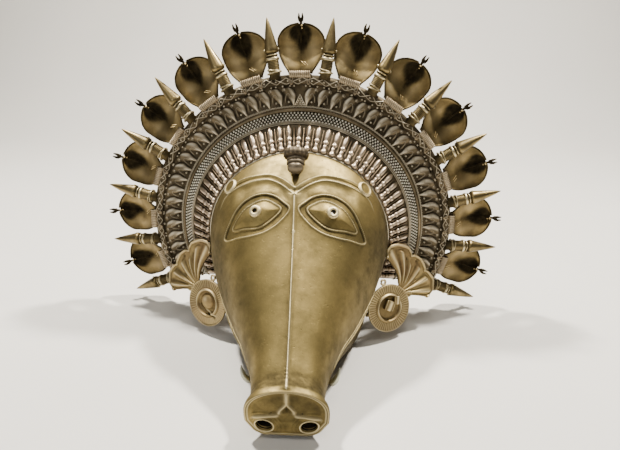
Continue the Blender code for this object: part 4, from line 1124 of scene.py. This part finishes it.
# The cobra hoods: thirteen brass sheets, each dished, round above and drawn in to a neck, with a rolled edge,
# a crease down the middle, two cut lines and a forked snake's head, tied to the rim with wound wire.
hood_lean = 0.012
hood_wall = 0.0025
element_step = 114.0 / 13
hood_seat = plate_front - rim_depth + hood_wall * 0.6
hood_foot = outer_radius + 0.0012
hood_sheet_height = 0.0565
hood_half = 0.0292
hood_outline = ((0.0, 0.46), (0.05, 0.48), (0.20, 0.70), (0.33, 0.865), (0.42, 0.94), (0.52, 0.985),
                (0.627, 1.0))


def hood_half_width(share):
    """Half the hood's width from its foot, 0, to its top, 1: a V that opens into a round top."""
    widest = hood_outline[-1][0]
    if share <= widest:
        shares, widths = zip(*hood_outline)
        return hood_half * float(np.interp(share, shares, widths))
    return hood_half * max(0.02, math.sqrt(max(0.0, 1 - ((share - widest) / (1.002 - widest)) ** 2)))


def make_hood(bm):
    sheet = bmesh.new()
    wide, tall = 28, 44
    bmesh.ops.create_grid(sheet, x_segments=wide, y_segments=tall, size=1.0)
    dark, bright = [], []
    for v in sheet.verts:
        across = math.sin(v.co.x * math.pi / 2)
        share = (v.co.y + 1) / 2
        share = 1 - (1 - share) ** 1.5
        rise = min(share / 0.62, 1.0)
        lean = (hood_lean + hood_seat) * rise**3 * (rise * (6 * rise - 15) + 10) - hood_seat
        dish = 0.0026 * (1 - across**2) * math.sin(math.pi * min(1.0, share)) ** 0.7
        lobes = -0.0015 * hump(abs(across) - 0.55, 0.24) * ease((share - 0.15) / 0.2)
        lobes = lobes * ease((0.98 - share) / 0.25)
        crease = 0.0004 * hump(across, 0.07) * ease((share - 0.15) / 0.1) * ease((0.97 - share) / 0.05)
        roll = -0.0012 * ease((abs(across) - 0.93) / 0.07) - 0.0010 * ease((share - 0.965) / 0.03)
        v.co = Vector((across * hood_half_width(share), lean + dish + lobes + crease + roll - 0.00125,
                       hood_foot + share * hood_sheet_height))
        edge = max(ease((abs(across) - 0.93) / 0.05), ease((share - 0.97) / 0.02))
        # Painted reflection: a dark wedge down the middle of the dished face from its top, as dark
        # surroundings mirrored in the polished sheet.
        painted_dark_reflection = ease((share - 0.28 - 0.90 * abs(across) ** 1.2 + 0.04 * math.sin(across * 9)) / 0.22)
        dark.append(min(1.0, max(0.97 * painted_dark_reflection, 0.7 * edge, 0.35 * hump(across, 0.14),
                                 0.4 * ease((0.07 - share) / 0.05), 0.3 * ease((0.25 - share) / 0.25))))
        # Painted highlight on the two lobes either side of the middle, kept off the dark reflection.
        bright.append(0.42 * hump(abs(across) - 0.55, 0.26) * hump(share - 0.42, 0.26) * (1 - painted_dark_reflection))
    mark(sheet, dark, bright)
    bmesh.ops.recalc_face_normals(sheet, faces=sheet.faces)
    if sum(face.normal.y for face in sheet.faces) > 0:
        bmesh.ops.reverse_faces(sheet, faces=sheet.faces)
    bmesh.ops.solidify(sheet, geom=list(sheet.faces), thickness=0.0022)
    bmesh.ops.recalc_face_normals(sheet, faces=sheet.faces)
    pour(bm, sheet)

    head = bmesh.new()
    top = hood_foot + hood_sheet_height
    front = hood_lean - 0.0030
    spine = smooth_line([(0.0, front + 0.0012, top - 0.026), (0.0, front + 0.0010, top - 0.014),
                         (0.0, front - 0.0002, top - 0.004), (0.0, front - 0.0022, top + 0.0030),
                         (0.0, front - 0.0052, top + 0.0066)], False, 5)
    count = len(spine)
    swept_wire(head, spine, 0.0024, sides=9, flat=0.8,
               taper=[0.30 + 0.45 * (i / count) + 0.75 * hump(i / count - 0.88, 0.13) for i in range(count)])
    for side in (-1, 1):
        prong = [(side * 0.0014, front - 0.0040, top + 0.0050), (side * 0.0022, front - 0.0054, top + 0.0085),
                 (side * 0.0021, front - 0.0056, top + 0.0132)]
        swept_wire(head, prong, 0.0019, sides=6, taper=[1.0, 0.9, 0.3])
        bead(head, Matrix.Translation((side * 0.0020, front - 0.0022, top + 0.0046)), 0.0010, cells=5)
    mark(head, 0.95, 0.0)
    pour(bm, head)
    glint = bmesh.new()
    bead(glint, Matrix.Translation((0.0008, front - 0.0016, top - 0.0010)), 0.0013, cells=5)
    bead(glint, Matrix.Translation((0.0012, front - 0.0012, top - 0.0042)), 0.0009, cells=5)
    mark(glint, 0.0, 1.0)
    pour(bm, glint)
    cuts = bmesh.new()
    for start, length in ((0.0010, 0.0115), (0.0042, 0.0100)):
        line = [(start + length * 0.75 * t, hood_lean * 0.20 - 0.0052 + 0.0016 * t,
                 hood_foot + 0.0145 - length * 0.75 * t) for t in np.linspace(0, 1, 5)]
        swept_wire(cuts, line, 0.0004, sides=5)
    mark(cuts, 0.0, 1.0)
    pour(bm, cuts)


def make_binding(bm):
    """The wire wound round the hood's neck where it is tied to the rim."""
    coil = bmesh.new()
    turns = 11
    points = []
    for index in range(turns * 10 + 1):
        turn = math.tau * index / 10
        share = index / (turns * 10)
        points.append((-0.0132 + 0.0264 * share, 0.0028 * math.cos(turn), 0.0040 * math.sin(turn)))
    swept_wire(coil, points, 0.0012, sides=6)
    # Painted shade on the coil's back half and a painted highlight on its front.
    mark(coil, [0.25 + 0.5 * (v.co.y > 0.001) for v in coil.verts],
         [0.55 * (v.co.y < -0.002) for v in coil.verts])
    coil.transform(Matrix.Translation((0, -plate_front - 0.0004, outer_radius + 0.0012)))
    pour(bm, coil)
    for side in (-1, 1):
        tie = bmesh.new()
        points = [(side * (0.0105 + 0.0016 * math.cos(t)), -plate_front - 0.0022 + 0.0042 * math.sin(t) * 0.8,
                   outer_radius - 0.0040 + 0.0062 * math.sin(t)) for t in np.linspace(0, math.tau, 14)[:-1]]
        swept_wire(tie, points, 0.0009, sides=5, closed=True)
        mark(tie, 0.2, 0.35)
        pour(bm, tie)


hood_brass = brass("aged_hood_brass", (0.325, 0.236, 0.098), (0.110, 0.083, 0.038),
                   (0.76, 0.60, 0.32), mottle=34.0, cover=0.50, matte=0.44)
wire_brass = brass("aged_wire_copper", (0.38, 0.285, 0.165), (0.12, 0.090, 0.055),
                   (0.74, 0.62, 0.44), mottle=60.0, cover=0.35)
hood_angles = [(number - 6) * 2 * element_step for number in range(13)]
hoods_bm = bmesh.new()
stand_on(hoods_bm, make_hood, [crown_place(angle) for angle in hood_angles])
hood_nodes = [f"cobra_hood_{number:02d}" for number in range(1, 14)]
finish_piece("cobra_hoods", hoods_bm, hood_brass, hood_nodes)
binding_bm = bmesh.new()
stand_on(binding_bm, make_binding, [crown_place(angle) for angle in hood_angles])
finish_piece("hood_bindings", binding_bm, wire_brass, hood_nodes)


# The spikes: fourteen turned brass spikes between the hoods, each a long cone over two bright rings, and a
# shaft bound with fine wire that stands on the rim and leans a little backwards.
spike_length = 0.069
spike_lean = math.radians(11.0)


def make_spike(bm, bend):
    profile = [(0.0, spike_length), (0.0007, spike_length - 0.0012)]
    for share in (0.2, 0.4, 0.6, 0.8, 0.93, 1.0):
        profile.append((0.0007 + 0.0080 * share**0.84, spike_length - 0.0012 - 0.0375 * share))
    profile += [(0.0086, 0.0288), (0.0081, 0.0276), (0.0070, 0.0267), (0.0058, 0.0261), (0.0058, 0.0255),
                (0.0070, 0.0249), (0.0074, 0.0242), (0.0070, 0.0235), (0.0058, 0.0229), (0.0058, 0.0222),
                (0.0074, 0.0216), (0.0083, 0.0204), (0.0083, 0.0190), (0.0075, 0.0178), (0.0066, 0.0172)]
    height = 0.0172
    wire_step = 0.0018
    while height > wire_step:
        profile += [(0.0074, height - 0.0006), (0.0074, height - 0.0012), (0.0067, height - wire_step)]
        height -= wire_step
    profile += [(0.0070, -0.0050), (0.0, -0.0052)]
    turned(bm, profile, Matrix(), 16, closed=False)
    dark, bright = [], []
    for v in bm.verts:
        radius, z = math.hypot(v.co.x, v.co.y), v.co.z
        gap = 0.9 if (0.0218 < z < 0.0232 or 0.0252 < z < 0.0264) and radius < 0.0070 else 0.0
        wrap = 0.75 if z < 0.0176 and radius < 0.0070 else 0.35 if z < 0.0176 else 0.0
        dark.append(max(gap, wrap, 0.35 * (z < 0.004)))
        bright.append(0.65 if 0.0184 <= z <= 0.0214 or 0.0236 <= z <= 0.0248 else 0.0)
        v.co.x += bend[0] * (z / spike_length) ** 2
        v.co.y += bend[1] * (z / spike_length) ** 2
    mark(bm, dark, bright)
    lugs = bmesh.new()
    for side in (-1, 1):
        bead(lugs, Matrix.Translation((side * 0.0084, 0.0, 0.0306)), 0.0015, cells=5)
    mark(lugs, 0.1, 0.5)
    pour(bm, lugs)
    loop = bmesh.new()
    for height, radius, tilt in ((0.0032, 0.0084, 0.12), (0.0058, 0.0080, -0.16)):
        points = [(radius * math.cos(t), radius * math.sin(t), height + tilt * radius * math.cos(t))
                  for t in np.linspace(0, math.tau, 17)[:-1]]
        swept_wire(loop, points, 0.0010, sides=5, closed=True)
    mark(loop, 0.25, 0.4)
    pour(bm, loop)


spike_brass = brass("aged_spike_brass", (0.30, 0.225, 0.100), (0.10, 0.078, 0.038),
                    (0.88, 0.76, 0.48), mottle=40.0, cover=0.40, matte=0.26)
spike_sunk = 0.00625 * 1.1 * math.sin(spike_lean)
spike_foot = (Matrix.Translation((0.0, -plate_front, outer_radius + 0.0003 + spike_sunk))
              @ Matrix.Rotation(-spike_lean, 4, "X"))
shaker = np.random.default_rng(11)
spikes_bm = bmesh.new()
for number in range(14):
    bend = shaker.uniform(-0.0012, 0.0012, 2)
    place = crown_place((number - 6.5) * 2 * element_step) @ spike_foot
    stand_on(spikes_bm, lambda bm: make_spike(bm, bend), [place])
finish_piece("turned_spikes", spikes_bm, spike_brass, [f"spike_{n:02d}" for n in range(1, 15)])

# The ears: each one brass casting, a fan of ribbed lobes over a round ornament with a petalled rim. The left
# ornament holds a domed boss over two slits, the right one two lined blocks; a stud ties each to the cheek.
ear_radius = 0.031
ear_half = 0.0025
fan_radius = 0.068
fan_start = math.radians(-14.0)
fan_spread = math.radians(122.0)
fan_taper = 0.28
fan_outline = ((0.0, 0.78), (0.03, 0.90), (0.08, 0.98), (0.16, 1.0), (0.30, 0.99), (0.345, 0.93),
               (0.37, 0.86), (0.42, 0.93), (0.52, 0.98), (0.63, 0.97), (0.665, 0.94), (0.70, 1.02),
               (0.80, 1.14), (0.92, 1.14), (1.0, 1.0))
rib_lines = ((0.055, 0.93), (0.20, 0.84), (0.36, 0.74), (0.55, 0.80), (0.76, 0.84), (0.93, 0.92))
ear_turn = math.radians(30.0)
ear_reach = (0.030 + ear_radius * math.sin(ear_turn)) / snout_length
ear_sizes = section_at(np.array((ear_reach,)))[:, 0]


def fan_relief(across, out):
    """Forward relief and dark marks of the fan at a share of its spread and of its radius."""
    rise, dark, bright = 0.0, 0.15, 0.0
    for line, reach in rib_lines:
        body = hump(across - line, 0.036) * ease((reach - out) / 0.07 + 0.4)
        rise += 0.0030 * (body * (0.35 + 0.65 * ease(out / 0.6)))
        crest = 0.75 * hump(across - line, 0.016) * ease((reach - out) / 0.05)
        bright = max(bright, crest * ease(out / 0.3))
        groove = 0.6 * hump(abs(across - line) - 0.062, 0.024) * ease((reach - out) / 0.1)
        dark = max(dark, groove * ease(out / 0.3))
    rim = ease((out - 0.93) / 0.05)
    rise += 0.0018 * hump(out - 0.965, 0.022) + 0.0008 * rim
    dark = max(dark, 0.7 * hump(out - 0.915, 0.022))
    bright = max(bright, 0.7 * hump(out - 0.97, 0.018))
    edge = 0.0024 * (hump(across - 0.0, 0.022) + hump(across - 1.0, 0.022)) * ease(out / 0.3)
    for slot_across, slot_out, length in ((0.285, 0.70, 0.060), (0.66, 0.52, 0.070), (0.47, 0.86, 0.04)):
        slot = hump((across - slot_across) * 1.0, 0.013) * hump(out - slot_out, length)
        rise -= 0.0022 * slot
        dark = max(dark, 1.0 * slot)
    return rise + edge, dark, bright


def make_fan(bm, side):
    sheet = bmesh.new()
    bmesh.ops.create_grid(sheet, x_segments=96, y_segments=36, size=1.0)
    dark, bright = [], []
    shares_across, shapes = zip(*fan_outline)
    for v in sheet.verts:
        across = (v.co.x + 1) / 2
        out = (v.co.y + 1) / 2
        angle = fan_start + fan_spread * across + (0.60 - 0.70 * across) * (1 - out) ** 1.5
        edge = fan_radius * (1.0 - fan_taper * across) * float(np.interp(across, shares_across, shapes))
        hub = fan_radius * 0.10
        reach = hub + (edge - hub) * out
        rise, low, high = fan_relief(across, out)
        curve_back = -0.0030 * out**2 * abs(math.sin(math.pi * (across - 0.1)))
        v.co = Vector((side * reach * math.sin(angle), reach * math.cos(angle), rise + curve_back))
        dark.append(low)
        bright.append(high)
    mark(sheet, dark, bright)
    bmesh.ops.recalc_face_normals(sheet, faces=sheet.faces)
    if sum(face.normal.z for face in sheet.faces) < 0:
        bmesh.ops.reverse_faces(sheet, faces=sheet.faces)
    bmesh.ops.solidify(sheet, geom=list(sheet.faces), thickness=0.0030)
    bmesh.ops.recalc_face_normals(sheet, faces=sheet.faces)
    sheet.transform(Matrix.Translation((side * ear_radius * 0.5, ear_radius * 0.52, 0.0010)))
    pour(bm, sheet)


def segment_gap(x, y, first, second):
    """Distance from a point to a straight line between two others."""
    run_x, run_y = second[0] - first[0], second[1] - first[1]
    t = max(0.0, min(1.0, ((x - first[0]) * run_x + (y - first[1]) * run_y) / (run_x**2 + run_y**2)))
    return math.hypot(x - first[0] - t * run_x, y - first[1] - t * run_y)


def make_roundel(bm, side):
    disc = bmesh.new()
    petals = 52
    radii = (0.0, 0.0025, 0.0050, 0.0072, 0.0088, 0.0098, 0.0106, 0.0114, 0.0124, 0.0136, 0.0148, 0.0156,
             0.0164, 0.0172, 0.0180, 0.0188, 0.0196, 0.0206, 0.0218, 0.0232, 0.0246, 0.0260, 0.0274,
             0.0286, 0.0296, 0.0304, 0.0310)
    profile = [(radius, ear_half * 0.6) for radius in radii] + [(0.0306, -0.0012), (0.0290, -ear_half),
                                                                (0.0, -ear_half)]
    turned(disc, profile, Matrix(), 128, closed=False)
    dark, bright = [], []
    for v in disc.verts:
        # Painted shade on the disc's back.
        if v.co.z < 0:
            dark.append(0.6)
            bright.append(0.0)
            continue
        radius = math.hypot(v.co.x, v.co.y)
        angle = math.atan2(v.co.y, v.co.x * side)
        petal = ease((radius - 0.0192) / 0.0015) * ease((0.0308 - radius) / 0.0012)
        worn_away = 1.0 if side > 0 else ease((math.sin(angle + 0.5) + 0.35) / 0.5)
        wave = 0.5 + 0.5 * math.cos(angle * petals)
        rise = 0.0009 * petal * wave * worn_away - 0.0005 * petal
        low = 0.12 + 0.65 * petal * (1 - wave) * worn_away + 0.5 * hump(radius - 0.0148, 0.0009)
        high = 0.30 * petal * wave
        ring = hump(radius - 0.0172, 0.0013)
        rise += 0.0026 * ring + 0.0010 * hump(radius - 0.0304, 0.0008)
        # Painted highlight on the upper side of the raised ring.
        high = max(high, 0.8 * hump(radius - 0.0172, 0.0009) * ease((v.co.y + 0.010) / 0.02 + 0.5),
                   0.4 * hump(radius - 0.0304, 0.0007))
        low = max(low, 0.6 * hump(radius - 0.0196, 0.0007))
        inside_ring = ease((0.0150 - radius) / 0.002)
        rise -= 0.0012 * inside_ring
        low = max(low, 0.45 * inside_ring)
        if side < 0:
            dome_gap = math.hypot(v.co.x - 0.0010, v.co.y - 0.0020)
            dome = math.sqrt(max(0.0, 1 - (dome_gap / 0.0105) ** 2))
            rise += 0.0052 * dome
            low = min(low, 1 - 0.85 * ease(dome / 0.5)) if dome > 0 else low
            # Painted highlight: a bright spot on the dome's upper side.
            high = max(high, 0.7 * hump(math.hypot(v.co.x + 0.0015, v.co.y - 0.0060), 0.0030))
            for first, second in (((-0.0110, -0.0040), (-0.0020, -0.0098)),
                                  ((0.0020, -0.0138), (0.0150, -0.0160))):
                gap = segment_gap(v.co.x, v.co.y, first, second)
                rise -= 0.0020 * hump(gap, 0.0008)
                low = max(low, hump(gap, 0.0009))
            lip = segment_gap(v.co.x, v.co.y, (-0.0030, -0.0082), (0.0165, -0.0138))
            rise += 0.0012 * hump(lip, 0.0010)
            high = max(high, 0.9 * hump(lip, 0.0008))
        v.co.z += rise
        dark.append(min(1.0, low))
        bright.append(high)
    mark(disc, dark, bright)
    pour(bm, disc)
    if side > 0:
        for x, y, wide, tall, turn in ((-0.0005, 0.0035, 0.0122, 0.0132, -30),
                                       (0.0114, 0.0084, 0.0086, 0.0106, -12)):
            block = bmesh.new()
            bmesh.ops.create_cube(block, size=1.0)
            bmesh.ops.bevel(block, geom=list(block.edges), offset=0.16, segments=3, profile=0.5,
                            affect="EDGES", material=-1)
            bmesh.ops.subdivide_edges(block, edges=list(block.edges), cuts=4, use_grid_fill=True)
            low, high = [], []
            for v in block.verts:
                stripe = 0.5 + 0.5 * math.cos(v.co.x * math.tau * 1.6)
                # Painted shade on the lower part of each block, next to the disc.
                low.append(0.75 * (1 - stripe) + 0.5 * (v.co.z < 0.1))
                high.append(0.9 * stripe * (v.co.z > 0.3))
                v.co.z += 0.10 * stripe * (v.co.z > 0.3)
            mark(block, low, high)
            block.transform(Matrix.Translation((x, y, 0.0030)) @ Matrix.Rotation(math.radians(turn), 4, "Z")
                            @ Matrix.Diagonal((wide, tall, 0.0060, 1.0)))
            pour(bm, block)
    curls = bmesh.new()
    for x, y, size in ((side * 0.0318, 0.0120, 0.0036), (-side * 0.0050, 0.0350, 0.0032)):
        points = [(x + size * math.cos(t), y + size * math.sin(t), 0.0008)
                  for t in np.linspace(0, math.tau, 19)[:-1]]
        swept_wire(curls, points, 0.0015, sides=7, closed=True)
    mark(curls, 0.2, 0.45)
    pour(bm, curls)


ear_brass = brass("aged_ear_brass", (0.42, 0.315, 0.135), (0.24, 0.150, 0.078),
                  (0.90, 0.77, 0.47), mottle=26.0, cover=0.30, matte=0.36)
for hand, side in (("left", -1), ("right", 1)):
    centre = Vector((side * (ear_sizes[5] + 0.004 + ear_radius * math.cos(ear_turn)),
                     crown_y - collar_seat - 0.030, 0.012 + ear_radius))
    ear_place = (Matrix.Translation(centre) @ Matrix.Rotation(side * ear_turn, 4, "Z")
                 @ Matrix.Rotation(math.radians(76.0), 4, "X"))
    ear_bm = bmesh.new()
    make_fan(ear_bm, side)
    make_roundel(ear_bm, side)
    ear_bm.transform(ear_place)
    inner_edge = ear_place @ Vector((-side * ear_radius * 0.9, 0.0, -ear_half * 0.3))
    cheek = Vector((side * (ear_sizes[5] + 0.0015), float(face_y(ear_reach)), ear_sizes[6]))
    stud = bmesh.new()
    swept_wire(stud, (inner_edge, inner_edge.lerp(cheek, 0.6), cheek), 0.0025, sides=10,
               taper=(1.0, 1.0, 0.5))
    mark(stud, 0.5, 0.0)
    pour(ear_bm, stud)
    finish_piece(f"ear_{hand}_casting", ear_bm, ear_brass, (f"ear_{hand}",))


# The forehead bud: a small dark bronze bud under a fluted cap, ringed and drawn to a tip, that hangs over the
# top of the forehead.
bud_length = 0.036
cap_radius = 0.015
bud_lean = Matrix.Rotation(math.radians(-40.0), 4, "X")
bud_reach = np.array((0.018 / snout_length,))
forehead = Vector((0.0, float(face_y(bud_reach)[0]), float(upper_height(np.zeros(1), bud_reach)[0])))
across_bud = on_face(np.array((0.002,)), np.array((forehead.z,))) - on_face(np.array((-0.002,)),
                                                                             np.array((forehead.z,)))
up_bud = on_face(np.zeros(1), np.array((forehead.z + 0.002,))) - on_face(np.zeros(1),
                                                                         np.array((forehead.z - 0.002,)))
clear_of_face = Vector(np.cross(across_bud[0], up_bud[0])).normalized() * 0.0006
bud_place = (Matrix.Translation(forehead + clear_of_face
                                - bud_lean @ Vector((0.0, cap_radius * 0.98, -bud_length * 0.3))) @ bud_lean)
bud_bm = bmesh.new()
bud_profile = ((0.0, 0.0), (0.0040, -0.0001), (0.0080, -0.0004), (0.0112, -0.0012), (0.0134, -0.0028),
               (0.0146, -0.0048), (0.0150, -0.0070), (0.0149, -0.0092), (0.0143, -0.0104), (0.0126, -0.0110),
               (0.0104, -0.0114), (0.0098, -0.0122), (0.0106, -0.0130), (0.0110, -0.0140), (0.0106, -0.0150),
               (0.0098, -0.0156), (0.0102, -0.0164), (0.0106, -0.0176), (0.0106, -0.0190), (0.0100, -0.0202),
               (0.0090, -0.0208), (0.0094, -0.0217), (0.0096, -0.0232), (0.0093, -0.0250), (0.0086, -0.0267),
               (0.0074, -0.0282), (0.0058, -0.0294), (0.0040, -0.0302), (0.0020, -0.0307), (0.0, -0.0308))
turned(bud_bm, bud_profile, Matrix(), 48, closed=False)
bud_flutes = 16
bud_dark, bud_bright = [], []
for v in bud_bm.verts:
    radius = math.hypot(v.co.x, v.co.y)
    flute = 0.5 + 0.5 * math.cos(math.atan2(v.co.y, v.co.x) * bud_flutes)
    on_cap = (v.co.z > -0.0108) * ease((radius - 0.005) / 0.004)
    shrink = 1 - 0.06 * on_cap * (1 - flute)
    v.co.x *= shrink
    v.co.y *= shrink
    bud_dark.append(0.30 + 0.5 * (1 - flute) * on_cap
                    + 0.4 * (radius < 0.0101) * (-0.0215 < v.co.z < -0.011))
    bud_bright.append(0.20 * flute * on_cap + 0.35 * (v.co.z < -0.0215)
                      + 0.3 * (radius > 0.0104) * (v.co.z < -0.012))
mark(bud_bm, np.clip(bud_dark, 0, 1), bud_bright)
bud_bm.transform(bud_place)
bud_bronze = brass("dark_bud_bronze", (0.15, 0.115, 0.075), (0.05, 0.038, 0.026),
                   (0.50, 0.42, 0.30), mottle=70.0, cover=0.3)
finish_piece("hanging_bud", bud_bm, bud_bronze, ("forehead_bud",))


# The tusks: two short pale curved tusks, cast and set at the sides of the jaw, that rise past the lip.
tusk_length = 0.022
tusk_thickness = 0.008
tusk_reach = 0.739
tusk_alloy = brass("pale_tusk_alloy", (0.46, 0.46, 0.36), (0.20, 0.20, 0.15),
                   (0.72, 0.72, 0.60), mottle=60.0, cover=0.35)
tusk_sizes = section_at(np.array((tusk_reach,)))[:, 0]
for hand, side in (("left", -1), ("right", 1)):
    lip, lip_at, jaw, jaw_at = tusk_sizes[3:7]
    flank = jaw + (lip - jaw) * 0.3
    root = Vector((side * (flank + tusk_thickness / 2 + 0.001) + float(face_drift(tusk_reach)),
                   float(face_y(tusk_reach)), jaw_at + (lip_at - jaw_at) * 0.3))
    points, taper = [], []
    for step in range(17):
        t = step / 16
        points.append(root + Vector((side * (0.62 * t - 0.25 * t * t), -0.12 * math.sin(math.pi * t),
                                     0.8 * t + 0.1 * t * t)) * tusk_length)
        taper.append(float(np.interp(t, (0, 0.2, 0.4, 0.6, 0.8, 1.0), (1.0, 0.98, 0.88, 0.7, 0.45, 0.12))))
    tusk_bm = bmesh.new()
    swept_wire(tusk_bm, points, tusk_thickness / 2, sides=16, taper=taper)
    heights = np.array([(v.co.z - root.z) / tusk_length for v in tusk_bm.verts])
    mark(tusk_bm, 0.55 * np.clip(1 - heights / 0.25, 0, 1), 0.3)
    finish_piece(f"tusk_{hand}_cast", tusk_bm, tusk_alloy, (f"tusk_{hand}",))
